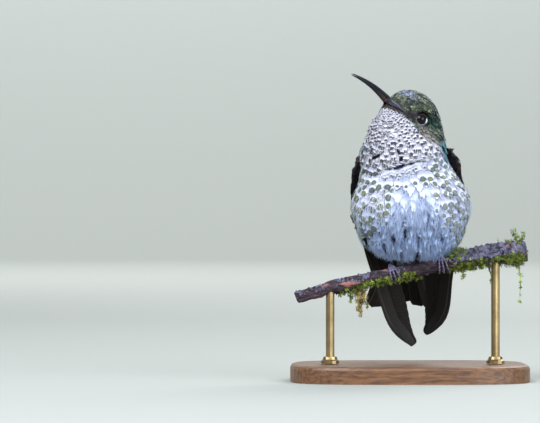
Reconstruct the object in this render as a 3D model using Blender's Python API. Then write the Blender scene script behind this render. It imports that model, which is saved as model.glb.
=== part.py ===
"""A hummingbird with spotted underparts, life size, perched on a short cut length of branch.

Metres, +Z up. The bird faces -Y, its head turned to its own right and raised, its wings drooping beside
the tail. A flat base and two short rods carry the branch. The origin is the middle of the base's underside.
Numbers below are millimetres; add_mesh() turns them into metres. Bird and branch are placed from the perch
point, the place on the branch's axis under the middle of the bird, where an empty stands as their parent.
"""

import math

import bmesh
import bpy
import numpy as np
from mathutils import Matrix, Vector

MM = 0.001
GAP = 0.3  # between neighbouring solids

# Stand and perch
BASE_LENGTH, BASE_DEPTH, BASE_HEIGHT = 84.0, 60.0, 6.0
BASE_EDGE, BASE_SQUARENESS = 1.2, 0.55
PERCH_POINT = (0.0, -5.0, 39.0)
PERCH_FROM, PERCH_TO = -40.0, 41.0
PERCH_SLOPE, PERCH_BEND = 0.202, -0.00113  # rise per mm along X, and its change
PERCH_RADIUS = 2.5
ROD_RADIUS = 1.5
ROD_PLACES = {"left": 30.0, "right": -28.0}  # along X; left is the bird's left
ROD_DEPTH = 1.6  # how far a rod goes into the branch
COLLAR_RADIUS, COLLAR_HEIGHT = 3.2, 2.4

# Bird
BILL_LENGTH = 18.2
BILL_BOW = 1.1  # how far the bill's middle stands over its chord
EYE_RADIUS = 2.3
EYE_SHOWS = 0.9  # how far the eyeball stands out of the head
TAIL_LENGTH = 32.4
TAIL_SPREAD = 14.0  # degrees from the middle to an outer tail feather
VANE = 0.6  # thickness of a tail plate
WING_WIDTH, COVERT_THICKNESS, WING_BLADE = 13.0, 2.6, 0.9
TOE_RADIUS = 0.42

HEAD_TURN, HEAD_RAISE = 56.8, 33.0  # degrees: to the bird's right, and up
HEAD_MIDDLE = np.array([0.8, -1.0, 53.8])
HEAD_REACH, HEAD_HALF_WIDTH, HEAD_HALF_HEIGHT = 11.0, 8.3, 9.2
EYE_FORWARD, EYE_UP = 0.0, -1.0  # from the head's middle
BODY_STATIONS, BODY_AROUND = 32, 28


def unit(v):
    v = np.asarray(v, float)
    return v / np.linalg.norm(v)


def head_axes():
    """The head's own directions: forwards, to its left, and up through the crown."""
    turn, rise = math.radians(HEAD_TURN), math.radians(HEAD_RAISE)
    forward = np.array([-math.sin(turn) * math.cos(rise), -math.cos(turn) * math.cos(rise), math.sin(rise)])
    left = np.array([math.cos(turn), -math.sin(turn), 0.0])
    return forward, left, np.cross(forward, left)


FORWARD, LEFT, UP = head_axes()
BILL_BASE = HEAD_MIDDLE + 11.4 * FORWARD - 1.5 * UP  # on the bill's axis, where the feathers end
BILL_CHORD = unit(FORWARD - 0.03 * UP)


# ---------------------------------------------------------------- scene helpers


def clear_scene():
    for old in list(bpy.data.objects):
        bpy.data.objects.remove(old, do_unlink=True)


def material(name, colour, roughness, metallic=0.0):
    made = bpy.data.materials.new(name)
    made.use_nodes = True
    shader = made.node_tree.nodes["Principled BSDF"]
    shader.inputs["Base Color"].default_value = (*colour, 1.0)
    shader.inputs["Roughness"].default_value = roughness
    shader.inputs["Metallic"].default_value = metallic
    return made


def add_mesh(name, points, faces, finish, parent=None, smooth_angle=40.0):
    """An object from points in millimetres, with its faces turned outwards."""
    mesh = bpy.data.meshes.new(name)
    mesh.from_pydata([tuple(float(c) * MM for c in p) for p in points], [], [tuple(f) for f in faces])
    work = bmesh.new()
    work.from_mesh(mesh)
    bmesh.ops.remove_doubles(work, verts=work.verts, dist=1e-7)
    bmesh.ops.recalc_face_normals(work, faces=work.faces)
    work.to_mesh(mesh)
    work.free()
    mesh.materials.append(finish)
    mesh.shade_smooth()
    mesh.set_sharp_from_angle(angle=math.radians(smooth_angle))
    made = bpy.data.objects.new(name, mesh)
    bpy.context.scene.collection.objects.link(made)
    made.parent = parent
    return made


def cutter(thing):
    """Keeps an object as a Boolean's tool only."""
    thing.hide_render = True
    thing.display_type = "WIRE"
    return thing


def boolean(target, tool, operation="DIFFERENCE"):
    cut = target.modifiers.new(operation.lower() + "_" + tool.name, "BOOLEAN")
    cut.operation = operation
    cut.solver = "EXACT"
    cut.object = tool
    return cut


# ---------------------------------------------------------------- shapes


def curve_through(knots, steps):
    """Points on a smooth Catmull-Rom curve through the knots, evenly spread in its parameter."""
    knots = np.asarray(knots, float)
    ends = np.vstack([2 * knots[0] - knots[1], knots, 2 * knots[-1] - knots[-2]])
    found = []
    for t in steps:
        at = min(t * (len(knots) - 1), len(knots) - 1 - 1e-9)
        i, u = int(at), at - int(at)
        a, b, c, d = ends[i : i + 4]
        square, cube = 2 * a - 5 * b + 4 * c - d, 3 * b - a - 3 * c + d
        found.append(0.5 * (2 * b + (c - a) * u + square * u**2 + cube * u**3))
    return np.array(found)


def carried_frames(path, first_side):
    """Two directions across the path at each point, carried along it without twist."""
    along = np.gradient(path, axis=0)
    along /= np.linalg.norm(along, axis=1)[:, None]
    side, frames = unit(first_side), []
    for t in along:
        side = unit(side - (side @ t) * t)
        frames.append((side, np.cross(t, side)))
    return frames


def tube_mesh(rings, closed_ends=True):
    """Points and faces of a skin over equal rings, closed by a fan at each end."""
    count, around = len(rings), len(rings[0])
    points = np.vstack(rings)
    faces = []
    for low in range(0, (count - 1) * around, around):
        for j in range(around):
            k = (j + 1) % around
            faces.append((low + j, low + k, low + around + k, low + around + j))
    if closed_ends:
        points = np.vstack([points, rings[0].mean(0), rings[-1].mean(0)])
        first, last, low, high = 0, (count - 1) * around, count * around, count * around + 1
        faces += [(low, first + (j + 1) % around, first + j) for j in range(around)]
        faces += [(high, last + j, last + (j + 1) % around) for j in range(around)]
    return points, faces


def tube(path, radii, first_side=(1, 0, 0), around=10, flatten=1.0):
    """A round or flattened tube along a path, as (points, faces)."""
    turn = np.linspace(0, 2 * math.pi, around, endpoint=False)
    rings = [
        centre + r * (np.outer(np.cos(turn), side) + flatten * np.outer(np.sin(turn), across))
        for centre, r, (side, across) in zip(path, radii, carried_frames(np.asarray(path), first_side))
    ]
    return tube_mesh(rings)


def half_round(path, half_widths, depths, sides, ups, around):
    """A half-round blade along a path: flat on one side, bowed out towards its own up on the other."""
    bow = np.linspace(0, math.pi, around)
    rings = [
        centre + np.outer(np.cos(bow), side) * wide + np.outer(np.sin(bow), up) * deep
        for centre, wide, deep, side, up in zip(path, half_widths, depths, sides, ups)
    ]
    return tube_mesh(rings)


def plate(grid, thickness):
    """A closed thin plate over a grid of points, with one thickness or one for each point."""
    grid = np.asarray(grid, float)
    across = np.gradient(grid, axis=1)
    down = np.gradient(grid, axis=0)
    normal = np.cross(down, across)
    size = np.linalg.norm(normal, axis=2, keepdims=True)
    normal = normal / np.where(size > 1e-9, size, 1)
    half = np.broadcast_to(np.asarray(thickness, float), grid.shape[:2])[..., None] / 2
    rows, columns = grid.shape[:2]
    points = np.vstack([(grid + normal * half).reshape(-1, 3), (grid - normal * half).reshape(-1, 3)])
    top = np.arange(rows * columns).reshape(rows, columns)
    low = top + rows * columns
    faces = []
    for i in range(rows - 1):
        for j in range(columns - 1):
            faces.append((top[i, j], top[i, j + 1], top[i + 1, j + 1], top[i + 1, j]))
            faces.append((low[i, j], low[i + 1, j], low[i + 1, j + 1], low[i, j + 1]))
    rim = [(0, j) for j in range(columns)] + [(i, columns - 1) for i in range(1, rows)]
    rim += [(rows - 1, j) for j in range(columns - 2, -1, -1)] + [(i, 0) for i in range(rows - 2, 0, -1)]
    for here, there in zip(rim, rim[1:] + rim[:1]):
        faces.append((top[here], top[there], low[there], low[here]))
    return points, faces


# ---------------------------------------------------------------- body as blended masses


def tilted(degrees):
    """Axes turned about X, so that the third leans forward, towards -Y, by this angle."""
    a = math.radians(degrees)
    return np.array([[1, 0, 0], [0, math.cos(a), math.sin(a)], [0, -math.sin(a), math.cos(a)]])


HEAD_FRAME = np.array([FORWARD, LEFT, UP])
# Each mass: centre, half sizes along its own axes, and those axes
BODY_MASSES = {
    "belly": ((0.4, 2.0, 14.8), (19.4, 13.6, 12.2), tilted(18)),
    "breast": ((0.4, -1.4, 22.6), (21.4, 15.4, 15.5), tilted(20)),
    "shoulders": ((-1.2, -0.5, 33.0), (16.8, 12.4, 11.5), tilted(20)),
    "back": ((0.0, 6.0, 21.0), (14.0, 11.0, 19.0), tilted(24)),
    "rump": ((-0.2, 12.0, 11.5), (8.2, 6.5, 8.0), tilted(35)),
    "foreneck": ((-2.4, -3.5, 41.0), (15.2, 10.5, 9.0), tilted(8)),
    "throat": ((-5.0, -5.0, 47.5), (9.8, 8.6, 9.5), tilted(6)),
    "nape": ((3.0, 0.5, 45.5), (9.6, 8.6, 10.0), tilted(8)),
    "head": (HEAD_MIDDLE, (HEAD_REACH, HEAD_HALF_WIDTH, HEAD_HALF_HEIGHT), HEAD_FRAME),
    "chin": (BILL_BASE - 6.0 * FORWARD - 2.6 * UP, (6.6, 4.6, 4.0), HEAD_FRAME),
}
BLEND = 3.0


def body_distance(points):
    """Roughly how far points lie outside the blended masses, in millimetres."""
    total = None
    for centre, half, axes in BODY_MASSES.values():
        local = (np.asarray(points, float) - centre) @ axes.T
        near = np.linalg.norm(local / half, axis=-1)
        far = np.linalg.norm(local / np.square(half), axis=-1)
        here = near * (near - 1) / np.maximum(far, 1e-9)
        if total is None:
            total = here
        else:
            meet = np.maximum(BLEND - np.abs(total - here), 0) / BLEND
            total = np.minimum(total, here) - meet * meet * BLEND / 4
    return total


def body_normal(points, step=0.05):
    """The direction straight out of the body at each point."""
    points = np.asarray(points, float)
    slope = np.stack(
        [body_distance(points + step * e) - body_distance(points - step * e) for e in np.eye(3)], axis=-1
    )
    return slope / np.maximum(np.linalg.norm(slope, axis=-1, keepdims=True), 1e-9)


def kept_clear(points, distance):
    """Points moved straight out of the body until they lie this far from it."""
    points = np.array(points, float)
    for _ in range(6):
        short = np.maximum(distance - body_distance(points), 0)
        points += body_normal(points) * short[..., None]
    return points


BODY_LINE = [
    (0.0, 8.0, 1.0),
    (0.0, 4.0, 12.0),
    (0.0, 0.0, 26.0),
    (-1.6, -2.0, 40.0),
    tuple(HEAD_MIDDLE),
    (1.4, -0.8, 65.0),
]


def body_rings(grow=0.0):
    """Level rings, from under the belly to the crown, where rays from the body line leave the masses."""
    line = curve_through(BODY_LINE, np.linspace(0, 1, 4000))
    height = line[body_distance(line) < grow - 0.02][:, 2]
    crowded = (1 - np.cos(np.linspace(0.0, 1.0, BODY_STATIONS) * math.pi)) / 2
    share = 0.4 * crowded + 0.6 * np.linspace(0, 1, BODY_STATIONS)
    turn = np.linspace(0, 2 * math.pi, BODY_AROUND, endpoint=False)
    rays = np.stack([np.cos(turn), np.sin(turn), np.zeros(BODY_AROUND)], 1)
    rings = []
    for z in height[0] + share * (height[-1] - height[0]):
        centre = np.array([np.interp(z, line[:, 2], line[:, k]) for k in (0, 1, 2)])
        near, far = np.zeros(BODY_AROUND), np.full(BODY_AROUND, 30.0)
        for _ in range(30):
            middle = (near + far) / 2
            outside = body_distance(centre + rays * middle[:, None]) > grow
            far = np.where(outside, middle, far)
            near = np.where(outside, near, middle)
        rings.append(centre + rays * np.maximum(near, 0.05)[:, None])
    return rings


def block_beyond(name, point, direction, finish, parent, size=70.0):
    """A cutter that fills the space beyond a plane, on the side that direction points to."""
    third = unit(direction)
    first = unit(np.cross(third, (0, 1, 0)))
    axes = np.array([first, np.cross(third, first), third])
    corners = np.array([(x, y, z) for z in (0, 1) for x, y in ((-1, -1), (1, -1), (1, 1), (-1, 1))], float)
    points = point + (corners * (size / 2, size / 2, size)) @ axes
    faces = [(3, 2, 1, 0), (4, 5, 6, 7)] + [(i, (i + 1) % 4, 4 + (i + 1) % 4, 4 + i) for i in range(4)]
    return cutter(add_mesh(name, points, faces, finish, parent))


HEAD_CUT = (HEAD_MIDDLE - 5.5 * UP - 2.0 * FORWARD, unit([-0.10, 0.10, 1.0]))
NECK_CUT = (np.array([-1.5, -3.0, 36.5]), unit([0.0, -0.15, 1.0]))


def body(finishes, parent):
    """Trunk, neck and head, modelled whole and parted with two thin cuts."""
    points, faces = tube_mesh(body_rings())
    parts = {}
    for name in ("trunk", "neck", "head"):
        parts[name] = add_mesh(name, points, faces, finishes[name], parent, 60.0)
    for (point, direction), below, above in ((NECK_CUT, "trunk", "neck"), (HEAD_CUT, "neck", "head")):
        slit = direction * GAP / 2
        over = block_beyond("over_" + below, point - slit, direction, finishes[below], parent)
        under = block_beyond("under_" + above, point + slit, -direction, finishes[above], parent)
        boolean(parts[below], over)
        boolean(parts[above], under)
    return parts


# ---------------------------------------------------------------- head pieces


def eye_centre(side):
    """Middle of an eyeball, set in from the head's own surface."""
    start = HEAD_MIDDLE + EYE_FORWARD * FORWARD + EYE_UP * UP
    reach = np.linspace(0, 12, 400)
    ray = start + np.outer(reach, LEFT * side)
    surface = ray[np.argmax(body_distance(ray) > 0)]
    return surface - LEFT * side * (EYE_RADIUS - EYE_SHOWS)


def ball(name, centre, radius, finish, parent, segments=14, rings=8):
    work = bmesh.new()
    bmesh.ops.create_uvsphere(work, u_segments=segments, v_segments=rings, radius=radius)
    points = [np.array(v.co) + centre for v in work.verts]
    faces = [[v.index for v in f.verts] for f in work.faces]
    work.free()
    return add_mesh(name, points, faces, finish, parent)


def eyes(head, finishes, parent):
    for side, word in ((1, "left"), (-1, "right")):
        centre = eye_centre(side)
        ball("eye_" + word, centre, EYE_RADIUS, finishes["eye"], parent)
        socket = cutter(ball("eye_socket_" + word, centre, EYE_RADIUS + GAP, finishes["eye"], parent))
        boolean(head, socket)


def bill_axis(t):
    """A point on the bill's axis, at a share of its length from the feathers."""
    t = np.asarray(t, float)[:, None]
    return BILL_BASE + t * BILL_LENGTH * BILL_CHORD + 4 * BILL_BOW * t * (1 - t) * UP


def bill(grown_body, finishes, parent):
    """Upper and lower mandibles, each a half-round blade, with a thin cut between them."""
    share = np.concatenate([np.linspace(-0.16, 0.9, 13), [0.96, 0.99, 1.0]])
    path = bill_axis(share)
    taper = np.clip(1 - share, 0, 1.2)
    blunt = np.sqrt(np.clip((1.0 - share) / 0.05, 0.05, 1))
    half_width = (0.32 + 1.15 * taper**1.05) * blunt
    depth = {
        "bill_upper": (0.34 + 1.42 * taper**1.1) * blunt,
        "bill_lower": (0.22 + 1.02 * taper**1.1) * blunt,
    }
    sides = [side for side, _ in carried_frames(path, LEFT)]
    along = np.gradient(path, axis=0)
    ups = [unit(np.cross(side, t)) for side, t in zip(sides, along)]
    for name, sign in (("bill_upper", 1), ("bill_lower", -1)):
        signed = [up * sign if up @ UP > 0 else -up * sign for up in ups]
        start = path + np.array(signed) * GAP / 2
        points, faces = half_round(start, half_width, depth[name], sides, signed, 8)
        boolean(add_mesh(name, points, faces, finishes[name], parent), grown_body)


# ---------------------------------------------------------------- wings

# Each wing's front edge, from the wrist down to the tip, and the way across it at the shoulder and the hand
WINGS = {
    "right": dict(
        edge=[
            (-15.5, 0.0, 40.2),
            (-20.0, 1.0, 35.0),
            (-20.2, 4.0, 24.0),
            (-17.6, 8.0, 11.0),
            (-13.6, 11.0, -1.0),
            (-10.5, 13.4, -11.5),
            (-6.6, 15.8, -20.8),
            (0.2, 18.0, -27.5),
        ],
        across=((0.70, 0.71, 0.0), (0.87, 0.48, 0.05)),
    ),
    "left": dict(
        edge=[
            (13.4, 0.0, 42.8),
            (17.6, 1.0, 37.6),
            (18.4, 4.0, 26.0),
            (17.6, 8.0, 12.0),
            (15.9, 11.0, -1.4),
            (14.7, 13.2, -10.5),
            (12.1, 15.6, -17.6),
            (6.6, 17.6, -23.2),
        ],
        across=((-0.70, 0.71, 0.0), (-0.87, 0.48, 0.05)),
    ),
}
ARM_END, HAND_START, SECONDARY_END = 0.40, 0.408, 0.62


def wing_width(s):
    """Width of the folded wing at a share of its length from the wrist."""
    shoulder = WING_WIDTH * np.sqrt(np.clip(s / 0.14, 0.06, 1))
    taper = WING_WIDTH - 3.0 * np.clip((s - 0.2) / 0.25, 0, 1)
    tip = np.sqrt(np.clip((1.004 - s) / 0.20, 0, 1))
    return np.minimum(shoulder, taper * tip)


def wing_point(wing, s, u):
    """A point of the wing's middle surface: s goes from wrist to tip, u from the front edge to the rear."""
    turn = np.clip((s - 0.15) / 0.45, 0, 1)
    across = unit((1 - turn) * np.asarray(wing["across"][0]) + turn * np.asarray(wing["across"][1]))
    crown = np.array([0, 1.0, 0]) * 4 * u * (1 - u) * (1.6 * (1 - s) + 0.5)
    return curve_through(wing["edge"], [s])[0] + across * wing_width(s) * u + crown


def hand_edge(s):
    """The share of the wing's width that the hand feathers take: part beside the arm's, all beyond them."""
    return 0.52 + 0.48 * float(np.clip((s - HAND_START) / (SECONDARY_END - HAND_START), 0, 1)) ** 1.5


def wing_patch(wing, strip, columns):
    """A closed plate over part of the wing, kept clear of the body.

    The strip holds, for each of its rows, a place along the wing, two edges across it, and a thickness.
    """
    across = np.linspace(0, 1, columns)
    bowed = 0.45 + 0.55 * np.sin(math.pi * (np.arange(columns) + 0.5) / columns)
    grid = np.array([[wing_point(wing, s, low + (high - low) * u) for u in across] for s, low, high, _ in strip])
    thick = np.array([thickness * bowed for _, _, _, thickness in strip])
    return plate(kept_clear(grid, 2 * GAP + thick / 2), thick)


def wings(finishes, parent):
    """Each folded wing in three pieces: the covert-clad arm, the long hand feathers and the shorter arm ones."""
    arm = [(s, 0.0, 1.0, COVERT_THICKNESS - 3.6 * s) for s in np.linspace(0.0, ARM_END, 9)]
    hand_places = np.concatenate([np.linspace(HAND_START, 0.92, 13), [0.96, 0.985, 0.997]])
    hand = [(s, 0.0, hand_edge(s), WING_BLADE) for s in hand_places]
    inner_places = np.linspace(HAND_START, SECONDARY_END - 0.035, 6)
    inner = [(s, hand_edge(s) + GAP / float(wing_width(s)), 1.0, WING_BLADE) for s in inner_places]
    for word, wing in WINGS.items():
        for part, strip, columns in (("coverts", arm, 7), ("primaries", hand, 5), ("secondaries", inner, 4)):
            add_mesh(f"wing_{word}_{part}", *wing_patch(wing, strip, columns), finishes["wing"], parent)


# ---------------------------------------------------------------- tail

TAIL_ROOT = np.array([-0.3, 14.0, 13.0])
TAIL_ALONG = unit([-0.03, 0.60, -0.80])
TAIL_UP = unit([0, 0.80, 0.60])
TAIL_SIDE = unit(np.cross(TAIL_ALONG, TAIL_UP))
TAIL_ROOT_HALF = 2.7  # from the middle to where the side feathers start
COVERT_REACH = 22.0


def tail_plate(turn, layer, width, length):
    """One broad tail feather or joined pair, fanned out by an angle and lying in its own layer."""
    a = math.radians(turn)
    ahead = TAIL_ALONG * math.cos(a) + TAIL_SIDE * math.sin(a)
    sideways = TAIL_SIDE * math.cos(a) - TAIL_ALONG * math.sin(a)
    start = TAIL_ROOT + TAIL_UP * layer * (VANE + GAP) + TAIL_SIDE * TAIL_ROOT_HALF * np.sign(turn)
    rows = []
    for s in np.concatenate([np.linspace(0.12, 0.86, 5), [0.94, 0.985, 1.0]]):
        ending = math.sqrt(max(1 - max((s - 0.84) / 0.165, 0) ** 2, 0.02))
        half = width / 2 * (0.42 + 0.58 * min(s / 0.7, 1)) * ending
        middle = start + ahead * s * length
        rows.append([middle + sideways * half * u - TAIL_UP * 0.25 * u * u for u in (-1, 0, 1)])
    return plate(rows, VANE)


def tail(grown_body, finishes, parent):
    outer = TAIL_SPREAD
    feathers = {
        "tail_middle": (0.0, 1, 10.5, TAIL_LENGTH - 0.8),
        "tail_right_inner": (-outer * 0.52, 0, 9.0, TAIL_LENGTH),
        "tail_left_inner": (outer * 0.52, 0, 9.0, TAIL_LENGTH),
        "tail_right_outer": (-outer, -1, 7.5, TAIL_LENGTH + 0.9),
        "tail_left_outer": (outer, -1, 7.5, TAIL_LENGTH + 0.9),
    }
    for name, (turn, layer, width, length) in feathers.items():
        points, faces = tail_plate(turn, layer, width, length)
        boolean(add_mesh(name, points, faces, finishes["tail"], parent), grown_body)
    slot = 1.5 * (VANE + GAP) + GAP  # half of the room that the layers take between the coverts
    share = (1 - np.cos(np.linspace(0.05, 0.96, 12) * math.pi)) / 2
    swell = np.sin(share * math.pi) ** 0.5 * (1 - 0.55 * share)
    for name, sign, half, depth in (("coverts_over_tail", 1, 7.4, 3.4), ("coverts_under_tail", -1, 5.8, 3.2)):
        path = TAIL_ROOT + np.outer(share * COVERT_REACH - 5, TAIL_ALONG) + sign * TAIL_UP * slot
        sides, ups = [TAIL_SIDE] * len(path), [sign * TAIL_UP] * len(path)
        points, faces = half_round(path, half * swell, depth * swell, sides, ups, 10)
        boolean(add_mesh(name, points, faces, finishes[name], parent), grown_body)


# ---------------------------------------------------------------- perch and feet


def perch_radius(x, turn):
    """The branch's radius: thicker to the bird's left, with low swellings and a knotty outline."""
    swell = 0.28 * np.sin(0.21 * x + 0.6) + 0.16 * np.sin(0.47 * x + 2.0 * np.cos(turn) + 1.0)
    return PERCH_RADIUS + 0.009 * x + swell + 0.10 * np.cos(3 * turn + 0.13 * x)


def perch_point(x, turn, lift=0.0):
    """A point on the branch: x along it, and turn round it from behind, by a quarter to the top, to the front."""
    x, turn, lift = np.broadcast_arrays(x, turn, lift)
    tilt = np.arctan(PERCH_SLOPE + 2 * PERCH_BEND * x)
    r = perch_radius(x, turn) + lift
    middle = PERCH_SLOPE * x + PERCH_BEND * x * x
    above = np.sin(turn) * r
    return np.stack([x - np.sin(tilt) * above, np.cos(turn) * r, middle + np.cos(tilt) * above], -1)


def perch_mesh(lift=0.0, along=30, around=10):
    turn = np.linspace(0, 2 * math.pi, around, endpoint=False)
    return tube_mesh([perch_point(x, turn, lift) for x in np.linspace(PERCH_FROM, PERCH_TO, along)])


FEET = {"right": dict(x=-6.3, lean=0.9), "left": dict(x=11.2, lean=0.1)}
# Each front toe: how far along the branch it spreads, and how far round the branch it ends
TOES = (("inner", -1.5, 4.05), ("middle", 0.15, 4.3), ("outer", 1.75, 3.95))
HIND_END = -0.55
PAD_TOP = 1.77  # a foot's own height over the branch
THIGH_PLACE, THIGH_HALF, THIGH_LEAN = np.array([0.0, -0.6, 6.4]), np.array([2.5, 2.9, 4.3]), -12.0


def toe_path(start_x, end_x, start_turn, end_turn, steps=8):
    share = np.linspace(0, 1, steps)
    lift = GAP + TOE_RADIUS * (1.0 + 0.25 * np.sin(share * math.pi * 3) ** 2)
    return perch_point(np.linspace(start_x, end_x, steps), np.linspace(start_turn, end_turn, steps), lift)


def thigh(name, foot, grow, finish, parent):
    """The feathered leg: an egg that hangs out of the belly above its foot."""
    work = bmesh.new()
    bmesh.ops.create_uvsphere(work, u_segments=12, v_segments=8, radius=1.0)
    centre = perch_point(foot["x"], math.pi / 2) + THIGH_PLACE
    half = THIGH_HALF + np.array([1, 1, 3.5]) * grow
    points = [np.array(v.co) * half @ tilted(THIGH_LEAN) + centre for v in work.verts]
    faces = [[v.index for v in f.verts] for f in work.faces]
    work.free()
    return add_mesh(name, points, faces, finish, parent)


def feet(trunk, finishes, parent):
    """Each foot grips the branch with three toes in front and one behind. Its claws are solids of their own."""
    top = math.pi / 2
    for word, foot in FEET.items():
        x = foot["x"]
        pad = ball("foot_" + word, perch_point(x, top, GAP + 0.75), 0.72, finishes["foot"], parent, 12, 8)
        toes = [(name, x + 0.35 * out, x + out + foot["lean"], top + 0.1, end) for name, out, end in TOES]
        toes.append(("hind", x, x + 0.3, top - 0.1, HIND_END))
        for name, start_x, end_x, start, end in toes:
            path = toe_path(start_x, end_x, start, end)
            skin = tube(path, TOE_RADIUS * np.linspace(1.05, 0.8, len(path)), around=6)
            boolean(pad, cutter(add_mesh(f"toe_{word}_{name}", *skin, finishes["foot"], parent)), "UNION")
            claw(f"claw_{word}_{name}", end_x, end, finishes["claw"], parent)
        leg = thigh("leg_" + word, foot, 0.0, finishes["leg"], parent)
        shin = np.linspace(perch_point(x, top, PAD_TOP + GAP), perch_point(x, top) + THIGH_PLACE, 4)
        skin = tube(shin, [0.5, 0.55, 0.7, 0.9], around=8)
        boolean(leg, cutter(add_mesh("shin_" + word, *skin, finishes["leg"], parent)), "UNION")
        boolean(trunk, cutter(thigh("thigh_clearance_" + word, foot, GAP, finishes["leg"], parent)))


def claw(name, x, turn, finish, parent):
    """A small hooked claw that carries on round the branch from a toe's end."""
    onward = 1 if turn > math.pi / 2 else -1
    share = np.linspace(0, 1, 5)
    start = turn + onward * (GAP + 0.12) / PERCH_RADIUS
    path = perch_point(np.full(5, x), start + onward * 0.52 * share, GAP + 0.36 - 0.08 * share)
    add_mesh(name, *tube(path, [0.32, 0.30, 0.25, 0.17, 0.07], around=5), finish, parent)


def perch(finishes, parent):
    branch = add_mesh("perch_branch", *perch_mesh(), finishes["bark"], parent)
    for word, x in ROD_PLACES.items():
        low, high = rod_ends(x)
        hole = tube([(x, 0, low - 5), (x, 0, high + GAP)], [ROD_RADIUS + GAP] * 2, around=16)
        boolean(branch, cutter(add_mesh("rod_hole_" + word, *hole, finishes["bark"], parent)))


# ---------------------------------------------------------------- stand


def rod_ends(x):
    """Heights of a rod's foot, on the base, and of its top, in the branch, from the perch point."""
    under = perch_point(x, -math.pi / 2)[2]
    return BASE_HEIGHT + GAP - PERCH_POINT[2], under + ROD_DEPTH


def stand(finishes, parent):
    turn = np.linspace(0, 2 * math.pi, 40, endpoint=False)
    swell = [np.sign(wave) * np.abs(wave) ** BASE_SQUARENESS for wave in (np.cos(turn), np.sin(turn))]
    outline = np.stack([BASE_LENGTH / 2 * swell[0], BASE_DEPTH / 2 * swell[1]], axis=1)
    inset = BASE_EDGE * 0.3
    levels = [(0.0, 0.0), (BASE_HEIGHT - BASE_EDGE, 0.0), (BASE_HEIGHT - inset, inset), (BASE_HEIGHT, BASE_EDGE)]
    rings = [np.column_stack([outline * (1 - 2 * d / BASE_DEPTH), np.full(len(turn), z)]) for z, d in levels]
    add_mesh("stand_base", *tube_mesh(rings), finishes["base"])
    for word, x in ROD_PLACES.items():
        low, high = rod_ends(x)
        rod = tube([(x, 0, low), (x, 0, high)], [ROD_RADIUS] * 2, around=16)
        add_mesh("stand_rod_" + word, *rod, finishes["rod"], parent)
        add_mesh("stand_collar_" + word, *ring_mesh(collar_rings(x, low)), finishes["rod"], parent)


def collar_rings(x, low, around=14):
    """Profile rings of a low turned collar round a rod's foot, outside then inside."""
    turn = np.linspace(0, 2 * math.pi, around, endpoint=False)
    inner = ROD_RADIUS + GAP
    profile = [
        (COLLAR_RADIUS, 0),
        (COLLAR_RADIUS, COLLAR_HEIGHT * 0.4),
        (inner + 0.8, COLLAR_HEIGHT * 0.6),
        (inner + 0.5, COLLAR_HEIGHT),
        (inner, COLLAR_HEIGHT),
        (inner, 0),
    ]
    return [np.stack([x + r * np.cos(turn), r * np.sin(turn), np.full(around, low + z)], 1) for r, z in profile]


def ring_mesh(rings):
    """A closed ring: the last profile ring joins the first."""
    points, faces = tube_mesh(rings, closed_ends=False)
    around, last = len(rings[0]), (len(rings) - 1) * len(rings[0])
    faces += [(last + j, last + (j + 1) % around, (j + 1) % around, j) for j in range(around)]
    return points, faces


# ---------------------------------------------------------------- the whole model


def finishes():
    return {
        "head": material("head_green", (0.14, 0.20, 0.15), 0.55),
        "neck": material("throat_white", (0.68, 0.69, 0.70), 0.8),
        "trunk": material("breast_white", (0.72, 0.74, 0.80), 0.8),
        "eye": material("eye_black", (0.01, 0.01, 0.012), 0.08),
        "bill_upper": material("bill_black", (0.02, 0.02, 0.025), 0.3),
        "bill_lower": material("bill_brown", (0.09, 0.05, 0.045), 0.35),
        "wing": material("wing_dusky", (0.05, 0.04, 0.045), 0.6),
        "tail": material("tail_blue_black", (0.015, 0.02, 0.035), 0.4),
        "coverts_over_tail": material("rump_green", (0.06, 0.14, 0.07), 0.5),
        "coverts_under_tail": material("vent_grey_green", (0.35, 0.40, 0.36), 0.8),
        "leg": material("leg_down", (0.62, 0.63, 0.68), 0.9),
        "foot": material("toe_grey", (0.10, 0.08, 0.10), 0.5),
        "claw": material("claw_black", (0.03, 0.03, 0.035), 0.35),
        "bark": material("bark_brown", (0.16, 0.12, 0.12), 0.9),
        "base": material("base_walnut", (0.11, 0.06, 0.035), 0.45),
        "rod": material("rod_brass", (0.55, 0.42, 0.22), 0.3, 1.0),
    }


def main():
    clear_scene()
    looks = finishes()
    parent = bpy.data.objects.new("perch_point", None)
    parent.location = Vector(PERCH_POINT) * MM
    bpy.context.scene.collection.objects.link(parent)
    grown_body = cutter(add_mesh("body_clearance", *tube_mesh(body_rings(GAP)), looks["trunk"], parent))
    parts = body(looks, parent)
    clear_of_branch = perch_mesh(PAD_TOP + GAP, 20, 14)
    boolean(parts["trunk"], cutter(add_mesh("branch_clearance", *clear_of_branch, looks["bark"], parent)))
    eyes(parts["head"], looks, parent)
    bill(grown_body, looks, parent)
    wings(looks, parent)
    tail(grown_body, looks, parent)
    feet(parts["trunk"], looks, parent)
    perch(looks, parent)
    stand(looks, parent)


main()
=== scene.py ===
"""A life-size display model of a hummingbird on a mossy twig, dressed round its CAD frame."""

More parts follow.
